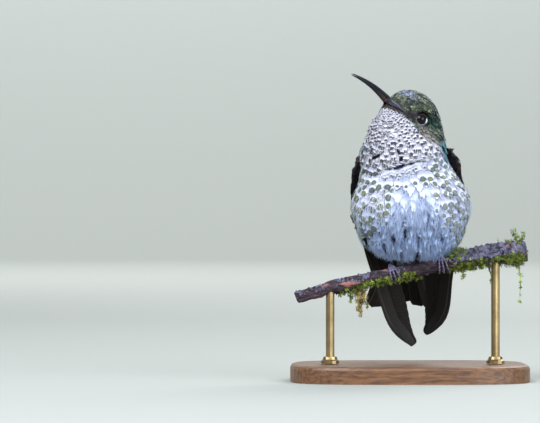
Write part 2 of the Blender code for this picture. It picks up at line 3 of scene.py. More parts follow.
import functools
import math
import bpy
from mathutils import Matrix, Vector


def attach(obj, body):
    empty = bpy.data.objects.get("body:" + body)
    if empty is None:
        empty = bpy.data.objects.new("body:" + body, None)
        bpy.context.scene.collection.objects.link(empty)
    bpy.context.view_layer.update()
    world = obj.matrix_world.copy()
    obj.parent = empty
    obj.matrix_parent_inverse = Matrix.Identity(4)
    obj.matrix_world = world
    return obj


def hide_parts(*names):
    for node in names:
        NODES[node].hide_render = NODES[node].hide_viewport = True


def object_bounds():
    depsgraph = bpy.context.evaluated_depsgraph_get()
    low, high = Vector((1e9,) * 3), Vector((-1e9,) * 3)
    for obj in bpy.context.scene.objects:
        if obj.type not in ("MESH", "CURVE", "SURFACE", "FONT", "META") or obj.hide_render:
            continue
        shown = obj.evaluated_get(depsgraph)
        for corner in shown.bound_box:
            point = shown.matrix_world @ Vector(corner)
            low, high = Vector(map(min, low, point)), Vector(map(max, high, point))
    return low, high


bl_info = {
    "name": "Perched hummingbird",
    "version": (1, 0, 0),
    "blender": (4, 5, 0),
    "location": "3D View > Sidebar > Bird",
    "description": "Builds a feathered hummingbird, its twig, its display stand and a studio",
    "category": "Object",
}

import bmesh
import bpy
import numpy as np
from mathutils import Color, Vector, noise
from mathutils.bvhtree import BVHTree
from mathutils.kdtree import KDTree

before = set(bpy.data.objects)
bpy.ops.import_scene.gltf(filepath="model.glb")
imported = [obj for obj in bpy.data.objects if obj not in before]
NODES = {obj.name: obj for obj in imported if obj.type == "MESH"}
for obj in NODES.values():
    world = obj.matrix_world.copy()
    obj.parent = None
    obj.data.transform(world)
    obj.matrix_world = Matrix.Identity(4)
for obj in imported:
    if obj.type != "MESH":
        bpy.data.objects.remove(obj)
CAD_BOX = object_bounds()
MM = 0.001  # lengths below are in millimetres, and Blender's are in metres

FLESH = ("head", "neck", "trunk", "leg_left", "leg_right", "coverts_over_tail", "coverts_under_tail")
SIDES = {"left": 1.0, "right": -1.0}


# ---- small geometry


def norm(vectors):
    """How long vectors are."""
    return np.linalg.norm(vectors, axis=-1)


def unit(vectors):
    """Vectors at length one."""
    vectors = np.asarray(vectors, float)
    return vectors / np.maximum(norm(vectors)[..., None], 1e-9)


def dot(a, b):
    return (a * b).sum(-1)


def flattened(vectors, normals):
    """Vectors without their part along the normals."""
    return vectors - normals * dot(vectors, normals)[..., None]


def smooth(low, high, x):
    """A soft step from 0 at low to 1 at high."""
    t = np.clip((np.asarray(x, float) - low) / (high - low), 0, 1)
    return t * t * (3 - 2 * t)


def full_turn(count):
    """Even angles round a circle."""
    return np.linspace(0, 2 * math.pi, count + 1)[:-1]


def bump(x, centre, reach):
    """A soft hill, 1 at its centre and 0 beyond its reach."""
    return smooth(1, 0, np.abs(np.asarray(x, float) - centre) / reach)


def hill(x, centre, width):
    """A bell-shaped hill, 1 at its centre."""
    return np.exp(-(((x - centre) / width) ** 2))


def blended(mask, low, high):
    """Two colours or numbers mixed row by row."""
    mask = np.asarray(mask, float)[:, None]
    return np.asarray(low, float) * (1 - mask) + np.asarray(high, float) * mask


def read(items, key, width, kind=np.int32):
    """One property of a mesh's items, as rows of numbers."""
    values = np.empty(len(items) * width, kind)
    items.foreach_get(key, values)
    return values.reshape(-1, width)


def mesh_arrays(mesh):
    """Points in millimetres, triangles and point normals of a mesh."""
    points = read(mesh.vertices, "co", 3, np.float32).astype(float) / MM
    normals = read(mesh.vertex_normals, "vector", 3, np.float32).astype(float)
    mesh.calc_loop_triangles()
    return points, read(mesh.loop_triangles, "vertices", 3), normals


def merged(meshes):
    """Points and triangles of several meshes in one."""
    points, faces, start = [], [], 0
    for mesh in meshes:
        more_points, more_faces, _ = mesh_arrays(mesh)
        points.append(more_points)
        faces.append(more_faces + start)
        start += len(more_points)
    return np.concatenate(points), np.concatenate(faces)


def finder(points, faces):
    """A tree that finds the nearest place or the first hit on triangles."""
    return BVHTree.FromPolygons(points.tolist(), faces.tolist())


def point_tree(points):
    """A tree that finds the nearest of some points."""
    tree = KDTree(len(points))
    for i, point in enumerate(points):
        tree.insert(point, i)
    tree.balance()
    return tree


def picked(rows, *arrays):
    """The same rows of several arrays."""
    return [array[rows] for array in arrays]


def relaxed(rows, rounds):
    """Rows drawn towards the mean of the rows beside them, the first and last kept."""
    for _ in range(rounds):
        rows[1:-1] += 0.25 * (rows[:-2] - 2 * rows[1:-1] + rows[2:])
    return rows


def grid_faces(numbers):
    """Faces between neighbours in a grid of point numbers."""
    corners = [numbers[:-1, :-1], numbers[:-1, 1:], numbers[1:, 1:], numbers[1:, :-1]]
    return np.stack(corners, -1).reshape(-1, 4)


def round_grid(rows, columns, closed=False):
    """Numbers of a grid whose columns, and rows if closed, run round to the first again."""
    numbers = np.arange(rows * columns).reshape(rows, columns)
    return np.pad(numbers, ((0, int(closed)), (0, 1)), mode="wrap")


def node_points(*names):
    """The points of CAD nodes."""
    return merged(NODES[name].data for name in names)[0]


def box_middle(points):
    """The middle of the box round some points."""
    return (points.min(0) + points.max(0)) / 2


def make_mesh(name, points, faces):
    """A smooth mesh from points and faces that all have as many corners."""
    faces = np.asarray(faces, np.int32)
    mesh = bpy.data.meshes.new(name)
    mesh.vertices.add(len(points))
    mesh.vertices.foreach_set("co", (np.asarray(points) * MM).astype(np.float32).ravel())
    mesh.loops.add(faces.size)
    mesh.loops.foreach_set("vertex_index", faces.ravel())
    mesh.polygons.add(len(faces))
    mesh.polygons.foreach_set("loop_start", np.arange(0, faces.size, faces.shape[1], dtype=np.int32))
    mesh.update(calc_edges=True)
    mesh.shade_smooth()
    return mesh


def new_object(data):
    thing = bpy.data.objects.new(data.name, data)
    bpy.context.scene.collection.objects.link(thing)
    return thing


def dress(thing, finish):
    thing.data.materials.clear()
    thing.data.materials.append(finish)


def as_piece(thing, finish, slot, *nodes):
    """Gives an object, or a mesh in a new one, its material, hides the CAD nodes it stands for and hangs it
    under the root.
    """
    if isinstance(thing, bpy.types.Mesh):
        thing = new_object(thing)
    dress(thing, finish)
    if nodes:
        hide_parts(*nodes)
    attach(thing, "root")


def dress_nodes(start, finish):
    """Gives a material to the CAD nodes whose names start so."""
    for name, node in NODES.items():
        if name.startswith(start):
            dress(node, finish)


def shrunk(thing, depth):
    """Draws an object's surface in, and gives its new points."""
    points, _, normals = mesh_arrays(thing.data)
    points = points - normals * depth
    thing.data.vertices.foreach_set("co", (points * MM).astype(np.float32).ravel())
    thing.data.update()
    thing.data.shade_smooth()
    return points


def baked(thing):
    """The object with its modifiers turned into plain mesh."""
    graph = bpy.context.evaluated_depsgraph_get()
    mesh = bpy.data.meshes.new_from_object(thing.evaluated_get(graph))
    old = thing.data
    thing.modifiers.clear()
    thing.data = mesh
    mesh.name = thing.name
    bpy.data.meshes.remove(old)
    return thing


def joined_nodes(name, nodes, swell):
    """Copies of CAD nodes in one object, merged and grown a little so that they meet."""
    whole = bmesh.new()
    for node in nodes:
        one = bmesh.new()
        one.from_mesh(NODES[node].data)
        bmesh.ops.remove_doubles(one, verts=one.verts, dist=2e-6)
        one.normal_update()
        for vert in one.verts:
            vert.co += vert.normal * swell * MM
        mesh = bpy.data.meshes.new(node)
        one.to_mesh(mesh)
        one.free()
        whole.from_mesh(mesh)
        bpy.data.meshes.remove(mesh)
    mesh = bpy.data.meshes.new(name)
    whole.to_mesh(mesh)
    whole.free()
    mesh.materials.clear()
    return new_object(mesh)


def remeshed(thing, voxel, rounds):
    """One closed even mesh round everything in an object, softened."""
    remesh = thing.modifiers.new("one skin", "REMESH")
    remesh.mode = "VOXEL"
    remesh.voxel_size = voxel * MM
    thing.modifiers.new("soften", "SMOOTH").iterations = rounds
    return baked(thing)


def set_values(mesh, **attributes):
    """Attributes with a number or a colour for each point."""
    for name, values in attributes.items():
        values = np.asarray(values, np.float32)
        if values.ndim == 1:
            mesh.attributes.new(name, "FLOAT", "POINT").data.foreach_set("value", values)
            continue
        values = np.column_stack([values, np.ones(len(values), np.float32)])
        mesh.attributes.new(name, "FLOAT_COLOR", "POINT").data.foreach_set("color", values.ravel())


def set_uv(mesh, name, places):
    """A UV map with a place for each point."""
    places = places.reshape(-1, 2)[read(mesh.loops, "vertex_index", 1)[:, 0]]
    mesh.uv_layers.new(name=name).data.foreach_set("uv", places.astype(np.float32).ravel())


class Surface:
    """A mesh that feathers are laid on."""

    def __init__(self, mesh):
        self.points, self.faces, self.normals = mesh_arrays(mesh)
        self.tree = finder(self.points, self.faces)
        loops = read(mesh.loop_triangles, "loops", 3)
        self.uv = read(mesh.uv_layers["OFBake"].data, "uv", 2, np.float32)[loops]

    def corners(self, faces=slice(None)):
        """The three corners of faces."""
        return (self.points[self.faces[faces, k]] for k in range(3))

    def scatter(self, rng, count):
        """Random places: points, normals and places on the unwrap."""
        a, b, c = self.corners()
        area = norm(np.cross(b - a, c - a))
        face = rng.choice(len(area), count, p=area / area.sum())
        share = rng.random((count, 2))
        share[share.sum(1) > 1] = 1 - share[share.sum(1) > 1]
        share = np.column_stack([1 - share.sum(1), share])[:, :, None]
        points, normals = ((rows[self.faces[face]] * share).sum(1) for rows in (self.points, self.normals))
        return points, unit(normals), (self.uv[face] * share).sum(1)

    def smooth_normals(self, points, faces):
        """Normals at points on given faces."""
        a, b, c = self.corners(faces)
        whole = np.cross(b - a, c - a)
        area = np.maximum(dot(whole, whole), 1e-12)
        wa = dot(np.cross(c - b, points - b), whole) / area
        wb = dot(np.cross(a - c, points - c), whole) / area
        share = np.clip(np.stack([wa, wb, 1 - wa - wb], -1), 0, 1)[..., None]
        return unit((self.normals[self.faces[faces]] * share).sum(-2))


def spaced(rng, points, gaps):
    """Which random places to keep so that each has its own gap round it."""
    tree = point_tree(points)
    free = np.ones(len(points), bool)
    kept = []
    for i in rng.permutation(len(points)):
        if free[i]:
            kept.append(i)
            for _, j, _ in tree.find_range(points[i], gaps[i]):
                free[j] = False
    return np.array(sorted(kept))


# ---- the bird's own axes


def twig_part(x):
    """The twig's points near a place along it."""
    points = node_points("perch_branch")
    return points[np.abs(points[:, 0] - x) < 3.5]


PERCH = box_middle(twig_part(0)) * (0, 1, 1)  # on the twig's axis, under the bird
TWIG_SLOPE = (box_middle(twig_part(12)) - box_middle(twig_part(-12)))[2] / 24
TWIG_RADIUS = float(np.ptp(twig_part(0)[:, 1]) / 2)
BODY_MIDDLE, BREAST_MIDDLE = 0.5, 0.7  # how far left of the perch the body's and the breast's middles lie
EYE_NODES = {side: box_middle(node_points(f"eye_{side}")) for side in SIDES}
EYE_RADIUS = float(np.ptp(node_points("eye_left"), axis=0).max() / 2)
BILL_POINTS = node_points("bill_upper", "bill_lower")
EYE_MIDDLE = (EYE_NODES["left"] + EYE_NODES["right"]) / 2
LEFT = unit(EYE_NODES["left"] - EYE_NODES["right"])
OUTWARD = {side: sign * LEFT for side, sign in SIDES.items()}
BILL_TIP = BILL_POINTS[norm(BILL_POINTS - EYE_MIDDLE).argmax()]
_towards_tip = unit(flattened(unit(BILL_TIP - EYE_MIDDLE), LEFT))
UP = unit(np.cross(_towards_tip, LEFT) - 0.029 * _towards_tip)
FORWARD = unit(np.cross(LEFT, UP))
HEAD_MIDDLE = EYE_MIDDLE + 1.0 * UP
EYES = {side: middle - 0.8 * UP + 0.68 * FORWARD for side, middle in EYE_NODES.items()}
_bill_reach = dot(BILL_POINTS - HEAD_MIDDLE, FORWARD)
BILL_START = BILL_POINTS[_bill_reach < _bill_reach.min() + 1.5].mean(0)
EYE_OPENING = 1.72  # radius of the opening between the lids


def eye_gap(points):
    """How far points are from the nearer eye."""
    return np.min([norm(points - eye) for eye in EYES.values()], 0)


def bill_gap(points):
    """How far points are from the bill's base."""
    return norm(points - BILL_START)


def eye_way(side):
    """Which ways are outward, forward and up for an eye."""
    outward = unit(OUTWARD[side] + 0.26 * FORWARD - 0.24 * UP)
    ahead = unit(flattened(FORWARD, outward))
    return outward, ahead, unit(flattened(flattened(UP, outward), ahead))


EYE_WAYS = {side: eye_way(side) for side in SIDES}


def eye_places(points, side):
    """How far forward, up and outward from the middle of an eye."""
    away = points - EYES[side]
    outward, ahead, up = EYE_WAYS[side]
    return away @ ahead, away @ up, away @ outward


def head_places(points):
    """How far forward, left and up from the head's middle."""
    away = points - HEAD_MIDDLE
    return dot(away, FORWARD), dot(away, LEFT), dot(away, UP)


def headness(points):
    """1 on the head, 0 on the body."""
    a, l, u = head_places(points)
    return smooth(1.75, 1.05, np.sqrt((a / 11) ** 2 + (l / 8.3) ** 2 + (u / 9.2) ** 2))


def body_turn(points):
    """Degrees round the body from the breast's middle."""
    x, y, z = (points - PERCH).T
    return np.degrees(np.abs(np.arctan2(x - BODY_MIDDLE, 5.5 - 0.06 * z - y)))


def lie(points, normals):
    """The feathers' lie: away from the bill on the head, down and back on the body."""
    x, _, z = (points - PERCH).T
    away = unit(flattened(points - BILL_START, normals))
    back = smooth(70, 125, body_turn(points))[:, None]
    low = smooth(14, 2, z)[:, None]
    front_fall = np.array([0.0, 0.10, -1.0]) + low * np.array([0, 0.5, 0.0])
    down = (1 - back) * front_fall + back * np.array([-0.02, 0.55, -0.83])
    sideways = np.clip(x - BODY_MIDDLE, -14, 14)[:, None] * np.array([[0.012, 0, 0]])
    down = unit(flattened(down + sideways * (1 - back), normals))
    share = smooth(9, 21, bill_gap(points))[:, None]
    flow = away * (1 - share) + down * share
    for eye in EYES.values():
        apart = flattened(points - eye, normals)
        near = smooth(4.2, 1.8, norm(apart))[:, None]
        flow = flow + 1.3 * near * unit(apart)
    return unit(flattened(flow, normals))


# ---- markings


def tone(code):
    """A colour in linear numbers from its six-figure code."""
    parts = [int(code[k : k + 2], 16) / 255 for k in (0, 2, 4)]
    return np.array([c / 12.92 if c <= 0.04045 else ((c + 0.055) / 1.055) ** 2.4 for c in parts])


WHITE, LILAC_WHITE, BLUE_WHITE = tone("EDF3FF"), tone("DCDFF6"), tone("B2C9F2")
SLATE, GREY_GREEN, OLIVE, DUSK = tone("4E5854"), tone("606A5E"), tone("6E7650"), tone("201E2A")
INK, BROW_BLACK, PARTING_SHADE, PIT_SHADE_BLUE = tone("1A1622"), tone("241F1E"), tone("1E1630"), tone("3C5274")
CROWN_GREEN, CROWN_PAINTED_SHEEN, CROWN_OLIVE = tone("50625C"), tone("868EA6"), tone("66724C")
TEAL, TEAL_BLUE, NECK_BLUE = tone("0F4436"), tone("1E5C68"), tone("4A98A8")
CHEEK, BUFF = tone("646E5E"), tone("ACA29A")
SAND, VIOLET_GREY, CHIN_BROWN, WARM_WHITE = tone("8C8E78"), tone("5A5478"), tone("4C3A38"), tone("F6F0F0")
BRONZE_GREEN, BACK_GREEN, FLANK_GREEN = tone("4F7A3A"), tone("2E6B45"), tone("9FB0A4")
VENT_GREY, BILL_PAINTED_SHEEN, WING_BROWN = tone("76897F"), tone("1C2840"), tone("3B2620")

# Lines along the side of the head: how far forward of its middle, and how high each line is there.
THROAT_LINE = ((-12, -6, -2.3, 1.3, 4.5, 7, 8.2, 12), (-8.4, -7.3, -6.4, -5.5, -5.0, -4.4, -4.2, -3.9))
BROW_LINE = ((-12, -6, -2.2, 0, 3, 4.5, 8, 12), (2.0, 3.2, 2.7, 1.6, -0.6, -1.7, -2.4, -1.5))
# Dark partings between the feathers of the foreneck and throat: where each runs, in millimetres to the
# bird's left of the perch and above it, and half its width.
PARTINGS = (
    (-8.8, 35.1, -5.6, 35.6, 0.34),
    (-5.8, 35.6, -1.0, 36.9, 0.85),
    (-1.2, 36.8, 2.4, 37.9, 0.50),
    (2.6, 38.0, 7.4, 38.0, 0.28),
    (-4.9, 41.9, -3.5, 39.3, 0.70),
    (-3.4, 39.6, -3.8, 36.6, 0.80),
    (-13.7, 38.9, -9.0, 40.8, 0.62),
    (-11.3, 49.2, -6.0, 49.6, 0.25),
    (-6.2, 47.9, -3.4, 48.1, 0.24),
    (-10.4, 50.9, -6.4, 50.9, 0.16),
)
# Pits between the belly's tufts, in the same way.
PITS = (
    (-1.8, 15.0, -2.2, 11.4, 0.85),
    (-6.4, 12.4, -5.6, 9.8, 0.95),
    (2.4, 12.4, 2.2, 9.0, 0.75),
    (5.2, 19.6, 5.6, 17.6, 0.75),
    (-10.8, 13.4, -10.2, 11.0, 0.80),
    (-2.6, 18.0, -2.9, 16.2, 0.45),
    (7.4, 17.6, 7.6, 15.8, 0.45),
    (-8.9, 9.6, -8.2, 7.4, 0.85),
    (2.2, 6.8, 2.3, 3.6, 0.85),
    (-15.8, 12.0, -15.0, 9.6, 0.60),
    (10.2, 12.2, 10.6, 9.8, 0.55),
    (-3.6, 7.4, -3.2, 4.8, 0.60),
    (6.2, 9.6, 6.6, 7.0, 0.45),
)


def nearness(points, lines, reach, edge):
    """How near points of the front are to lines: 0 past reach half widths, 1 within edge of them."""
    rel = points - PERCH
    place = rel[..., [0, 2]]
    best = np.zeros(place.shape[:-1])
    for x0, z0, x1, z1, half in lines:
        start, run = np.array([x0, z0]), np.array([x1 - x0, z1 - z0])
        share = np.clip(((place - start) @ run) / (run @ run), 0, 1)
        far = norm(place - start - share[..., None] * run)
        width = half * (0.45 + 0.55 * np.sin(np.clip(share * 1.2 + 0.1, 0, 1) * math.pi))
        best = np.maximum(best, smooth(reach, edge, far / width))
    return best * (rel[..., 1] < 4)


def parting_nearness(points):
    """1 in the middle of a parting or a pit, 0 past its edges."""
    return nearness(points, PARTINGS + PITS, 1.35, 0.75)


def gape_flap(along):
    """Middle and half height of the bare flap at the bill's base, this far forward."""
    share = np.clip((12.0 - np.asarray(along, float)) / 4.6, 0, 1)
    return -1.2 - 2.1 * share, 0.08 + 1.62 * (1 - share) ** 0.85


def on_flap(points, margin=0.0):
    """Which points lie on the bare flaps."""
    away = points - HEAD_MIDDLE
    along, rise = away @ FORWARD, away @ UP
    middle, half = gape_flap(along)
    return (along > 7.3) & (np.abs(rise - middle) < half + margin)


def under_tail(points):
    """1 under the tail and round the vent."""
    _, y, z = (points - PERCH).T
    over = 0.8 * (y - 14.0) + 0.6 * (z - 13.0)
    return smooth(0.2, -1.0, over) * smooth(3.0, 5.0, y) * smooth(14, 11, z)


def markings(rng, points):
    """For feathers rooted here: inner and outer colour, the inner mark's shape, and gloss."""
    count = len(points)
    rel = points - PERCH
    x, z = rel[:, 0] - BREAST_MIDDLE, rel[:, 2]
    a, l, u = head_places(points)
    head, turn, gone = headness(points), body_turn(points), bill_gap(points)
    chance, chance_2 = rng.random(count), rng.random(count)

    # the body's front: white with darker discs, which leave the belly's middle and grow sparse low down; the
    # white turns bluish towards the bottom as painted shade
    outer = blended(smooth(28, 10, z), blended(0.25 + 0.5 * chance_2, WHITE, LILAC_WHITE), BLUE_WHITE)
    # painted shade between the belly's tufts: darker bluish stripes, and darker still round the pits
    tuft_shade_noise = np.array([noise.noise(Vector((p[0] * 0.30, 7.0, p[2] * 0.13))) for p in rel])
    tuft_shade = smooth(0.08, 0.36, tuft_shade_noise) * belly_share(points) * smooth(21, 15, z)
    outer = blended(0.55 * tuft_shade, outer, PIT_SHADE_BLUE)
    outer = blended(0.8 * nearness(points, PITS, 2.6, 0.9), outer, PIT_SHADE_BLUE * 0.6)
    # painted shade: the front's outer colour darkens towards the bottom
    outer = outer * (0.5 + 0.5 * smooth(1.0, 7.5, z))[:, None]
    inner = blended(smooth(0.60, 0.10, chance), blended(chance_2, GREY_GREEN, SLATE), OLIVE)
    inner = blended(0.15 * smooth(4, 16, x), inner, WHITE)
    plain_half = 5.0 + 7.5 * smooth(31, 10, z)
    plain = smooth(plain_half + 2.5, plain_half - 1.5, np.abs(x)) * smooth(35, 30, z)
    grown = np.interp(gone, [3, 12, 22, 32], [0.55, 0.62, 0.92, 1.0])
    reach = 0.72 * grown * (0.8 + 0.4 * chance_2) * (1 - plain)
    length = 0.185 * grown * (0.85 + 0.3 * chance) * (1 - plain)
    centre = np.full(count, 0.63) + 0.03 * (chance_2 - 0.5)
    # throat: short dusky streaks between white tips and edges, wider and flatter lower down; they stand
    # partly for the real spots and partly for painted shade between the rows
    throat, flat = smooth(26, 20, gone), smooth(13, 19, gone)
    outer = blended(0.5 * throat, outer, WARM_WHITE)
    outer = blended(0.5 * plain, outer, BLUE_WHITE)
    inner = blended(0.85 * throat, inner, DUSK)
    reach = reach * (1 - throat) + throat * (0.98 + 0.24 * flat) * (0.75 + 0.5 * chance_2)
    length = length * (1 - throat) + throat * 0.165 * (0.75 + 0.5 * chance)
    centre = centre - throat * (0.04 - 0.04 * flat)
    # split: how strongly the vane carries painted shade in the splits between its strands
    split = np.clip(0.25 + 0.75 * throat + 0.6 * plain, 0, 1) * (1 - head * smooth(-6.5, -4.5, u))
    # flanks: denser and greener
    flank = smooth(48, 80, turn) * (1 - head) * smooth(44, 36, z)
    outer = blended(0.55 * flank, outer, FLANK_GREEN)
    inner = blended(0.5 * flank, inner, GREY_GREEN * 0.7)
    reach, length = reach * (1 + 0.25 * flank), length * (1 + 0.35 * flank)
    gloss = np.zeros(count)

    def cover(mask, inside, outside, wide=0.6, long=0.3, shine=0.1):
        nonlocal inner, outer, reach, length, gloss
        inner, outer = blended(mask, inner, inside), blended(mask, outer, outside)
        reach, length = reach * (1 - mask) + wide * mask, length * (1 - mask) + long * mask
        gloss = gloss * (1 - mask) + shine * mask

    # back: bronze green, scaly
    back = smooth(88, 112, turn + 6 * (chance - 0.5)) * (1 - head) * smooth(-3, 4, z)
    greens = blended(chance, BRONZE_GREEN, BACK_GREEN)
    cover(back, greens, greens * 0.45 + BROW_BLACK * 0.2, 0.8, 0.30, 0.55)
    # under the tail and round the vent
    vent = under_tail(points)
    cover(vent, VENT_GREY * 0.7, VENT_GREY * 1.3, 0.6, 0.24, 0.1)

    # head: everything above a line from the gape back below the cheek is dark or green
    side = np.abs(l)
    throat_line, brow = np.interp(a, *THROAT_LINE), np.interp(a, *BROW_LINE)
    upper = smooth(-0.4, 0.4, u - throat_line) * smooth(0.1, 0.5, head)
    shade = 0.35 + 1.2 * chance_2[:, None]
    cover(upper, blended(chance, CHEEK, GREY_GREEN) * shade * 0.75, CHEEK * shade * 1.25, 0.5, 0.22, 0.1)
    streak = upper * bump(u - throat_line, 1.5, 2.0) * smooth(1.2, -1.0, a) * smooth(3, 5, side)
    cover(0.7 * streak, BUFF * 0.6, BUFF * 1.05, 0.4, 0.18, 0.0)
    crown = smooth(-0.3, 0.5, u - brow) * head
    tint = blended(chance, CROWN_GREEN, CROWN_OLIVE * 0.8)
    mottle = np.array([noise.noise(Vector(p * 0.8)) for p in rel])
    tint = blended(0.7 * smooth(0.0, 0.3, mottle), tint, SAND)
    tint = blended(0.7 * smooth(-0.05, -0.3, mottle), tint, BROW_BLACK * 1.6)
    # a painted lilac sheen over the front of the crown
    tint = blended(0.85 * bump(a, 8.2, 3.6) * bump(u, 4.2, 2.6), tint, CROWN_PAINTED_SHEEN * 1.2)
    tint = blended(0.7 * smooth(2.6, 1.2, u - brow) * smooth(-5, 0, a), tint, CROWN_OLIVE)
    cover(crown, tint * shade * 0.4, tint * shade * 1.6, 0.55, 0.26, 0.22)
    behind = smooth(-0.2, 0.5, -a - 1.7) * smooth(-0.9, 0.3, u + 0.9 + 0.42 * (a + 3.65))
    behind = head * np.maximum(behind, smooth(-7.0, -8.6, a) * smooth(-5.0, -3.5, u))
    cover(behind, blended(0.25 * chance, TEAL, TEAL_BLUE) * shade, TEAL * 0.45, 0.7, 0.3, 0.5)
    # side of the neck: a teal-blue patch that runs up to the nape
    patch = bump(turn, 64, 28) * bump(z, 43.2, 4.2) * (0.1 + 0.9 * smooth(-2, 4, x))
    cover(np.clip(2.8 * patch, 0, 1), blended(chance, NECK_BLUE, TEAL_BLUE), TEAL_BLUE, 0.8, 0.35, 0.3)
    dark = BROW_BLACK * (0.4 + 1.2 * chance_2[:, None])
    line = head * smooth(0.95, 0.45, np.abs(u - brow - 0.1)) * smooth(-5.5, -3.0, a)
    cover(line * smooth(7.5, 5.5, a) * smooth(2, 4, side), dark, INK)
    lores = head * bump(a, 5.4, 4.6) * bump(u, -3.1, 2.1) * smooth(1.5, 3.0, side)
    cover(np.clip(1.8 * lores, 0, 1), dark, INK)
    speckle = head * bump(a, 7.6, 3.6) * bump(u, -1.0, 2.4) * (chance > 0.35)
    cover(np.clip(1.8 * speckle, 0, 1), dark, blended(chance_2, dark, VIOLET_GREY))
    chin = head * smooth(8.0, 9.0, a) * smooth(-1.0, -1.8, u) * smooth(-0.3, 0.3, u - throat_line)
    cover(chin, CHIN_BROWN * 0.5, CHIN_BROWN, 0.5, 0.3, 0.0)
    for eye in SIDES:
        ahead, above, outward = eye_places(points, eye)
        ring = (outward > -2) * smooth(3.2, 2.6, np.hypot(ahead, above)) * smooth(-0.6, 0.4, above)
        cover(0.8 * ring, BROW_BLACK, INK)
        spot = smooth(0.5, 0.3, np.abs(ahead + 2.2)) * smooth(1.0, 0.7, np.abs(above - 0.75))
        cover((outward > -2) * spot, WHITE, WHITE, 0.0, 0.0, 0.0)
    # the down over the legs: bluish white dimmed as painted shade low on the front
    legs = smooth(3.2, 1.2, z) * smooth(2, 0, rel[:, 1])
    cover(legs, BLUE_WHITE * 0.6, BLUE_WHITE * 0.8, 0.0, 0.0, 0.0)
    mark = np.column_stack([reach, length, centre])
    return dict(inner=inner, outer=outer, gloss=gloss, split=split, mark=mark)


# ---- skin


def coat_depth(points):
    """How deep the feathers lie over the skin."""
    depth = np.interp(bill_gap(points), [0, 5, 12, 24, 34], [0.15, 0.32, 0.55, 1.00, 1.15])
    return depth * (1 - 0.3 * smooth(80, 120, body_turn(points)))


def build_skin(finish, detail):
    """One skin in place of all the nodes of flesh, drawn in by the depth of the coat."""
    thing = remeshed(joined_nodes("skin", FLESH, 0.32), detail / MM, 6)
    points, faces, normals = mesh_arrays(thing.data)
    tree = finder(points, faces)
    thick = np.empty(len(points))
    for i, (point, normal) in enumerate(zip(points, normals)):
        hit = tree.ray_cast(Vector(point - 0.05 * normal), Vector(-normal))
        thick[i] = hit[3] if hit[3] is not None else 0.5
    depth = np.minimum(0.3 + coat_depth(points), 0.3 * thick)
    ends = read(thing.data.edges, "vertices", 2)
    degree = np.bincount(ends.ravel(), minlength=len(points))
    for _ in range(12):
        total = np.bincount(ends[:, 0], depth[ends[:, 1]], len(points))
        total += np.bincount(ends[:, 1], depth[ends[:, 0]], len(points))
        depth = 0.5 * depth + 0.5 * total / np.maximum(degree, 1)
    moved = shrunk(thing, depth[:, None])
    unwrap(thing)
    looks = markings(np.random.default_rng(3), moved)
    under = looks["inner"] * 0.35 + looks["outer"] * 0.30
    white = smooth(0.35, 0.6, looks["outer"].mean(1)) * (1 - looks["gloss"])
    under = blended(0.9 * white, under, looks["outer"] * 0.8)
    # painted shade: the skin turns near black in the partings and the belly's pits
    under = blended(parting_nearness(moved), under, PARTING_SHADE)
    set_values(thing.data, under=under)
    as_piece(thing, finish, "breast_feathers", *FLESH)


def unwrap(thing):
    """Cuts the shape flat into the map that the feathers' patches lie on."""
    bpy.ops.object.select_all(action="DESELECT")
    thing.select_set(True)
    bpy.context.view_layer.objects.active = thing
    thing.data.uv_layers.new(name="OFBake")
    bpy.ops.object.mode_set(mode="EDIT")
    bpy.ops.mesh.select_all(action="SELECT")
    bpy.ops.uv.smart_project(angle_limit=math.radians(66), island_margin=0.004)
    bpy.ops.object.mode_set(mode="OBJECT")


# ---- feathers


def feather_rows(rows):
    """Places along a feather, closer together near its tip."""
    t = np.linspace(0, 1, rows)
    return 1 - (1 - t) ** 1.25


def paths_over(surface, roots, flows, lengths, halves, stations=5):
    """Each feather's middle line over a surface, the normals along it, and its fall to either side."""
    count = len(roots)
    middle = np.empty((count, stations, 3))
    along = np.empty((count, stations, 3))
    faces = np.empty((count, stations), int)
    sides = np.empty((count, stations, 2, 3))
    find = surface.tree.find_nearest
    for i in range(count):
        at, heading = Vector(roots[i]), Vector(flows[i])
        step, half = lengths[i] / (stations - 1), halves[i]
        for k in range(stations):
            spot, normal, face, _ = find(at)
            heading = (heading - normal * heading.dot(normal)).normalized()
            side = normal.cross(heading) * half
            middle[i, k], along[i, k], faces[i, k] = spot, heading, face
            sides[i, k, 0] = find(spot - side)[0]
            sides[i, k, 1] = find(spot + side)[0]
            at = spot + heading * step
    normal = surface.smooth_normals(middle.reshape(-1, 3), faces.ravel()).reshape(middle.shape)
    normal[:, 1:-1] = unit(normal[:, :-2] + 2 * normal[:, 1:-1] + normal[:, 2:])
    falls = dot(sides - middle[:, :, None], normal[:, :, None])
    return middle, normal, along, falls


def along_path(values, share):
    """Values at stations read at shares of the way along."""
    last = values.shape[1] - 1
    place = np.clip(share, 0, 1) * last
    low = np.minimum(place.astype(int), last - 1)
    part = place - low
    row = np.arange(len(values))[:, None, None]
    part = part.reshape(part.shape + (1,) * (values.ndim - 2))
    return values[row, low] * (1 - part) + values[row, low + 1] * part


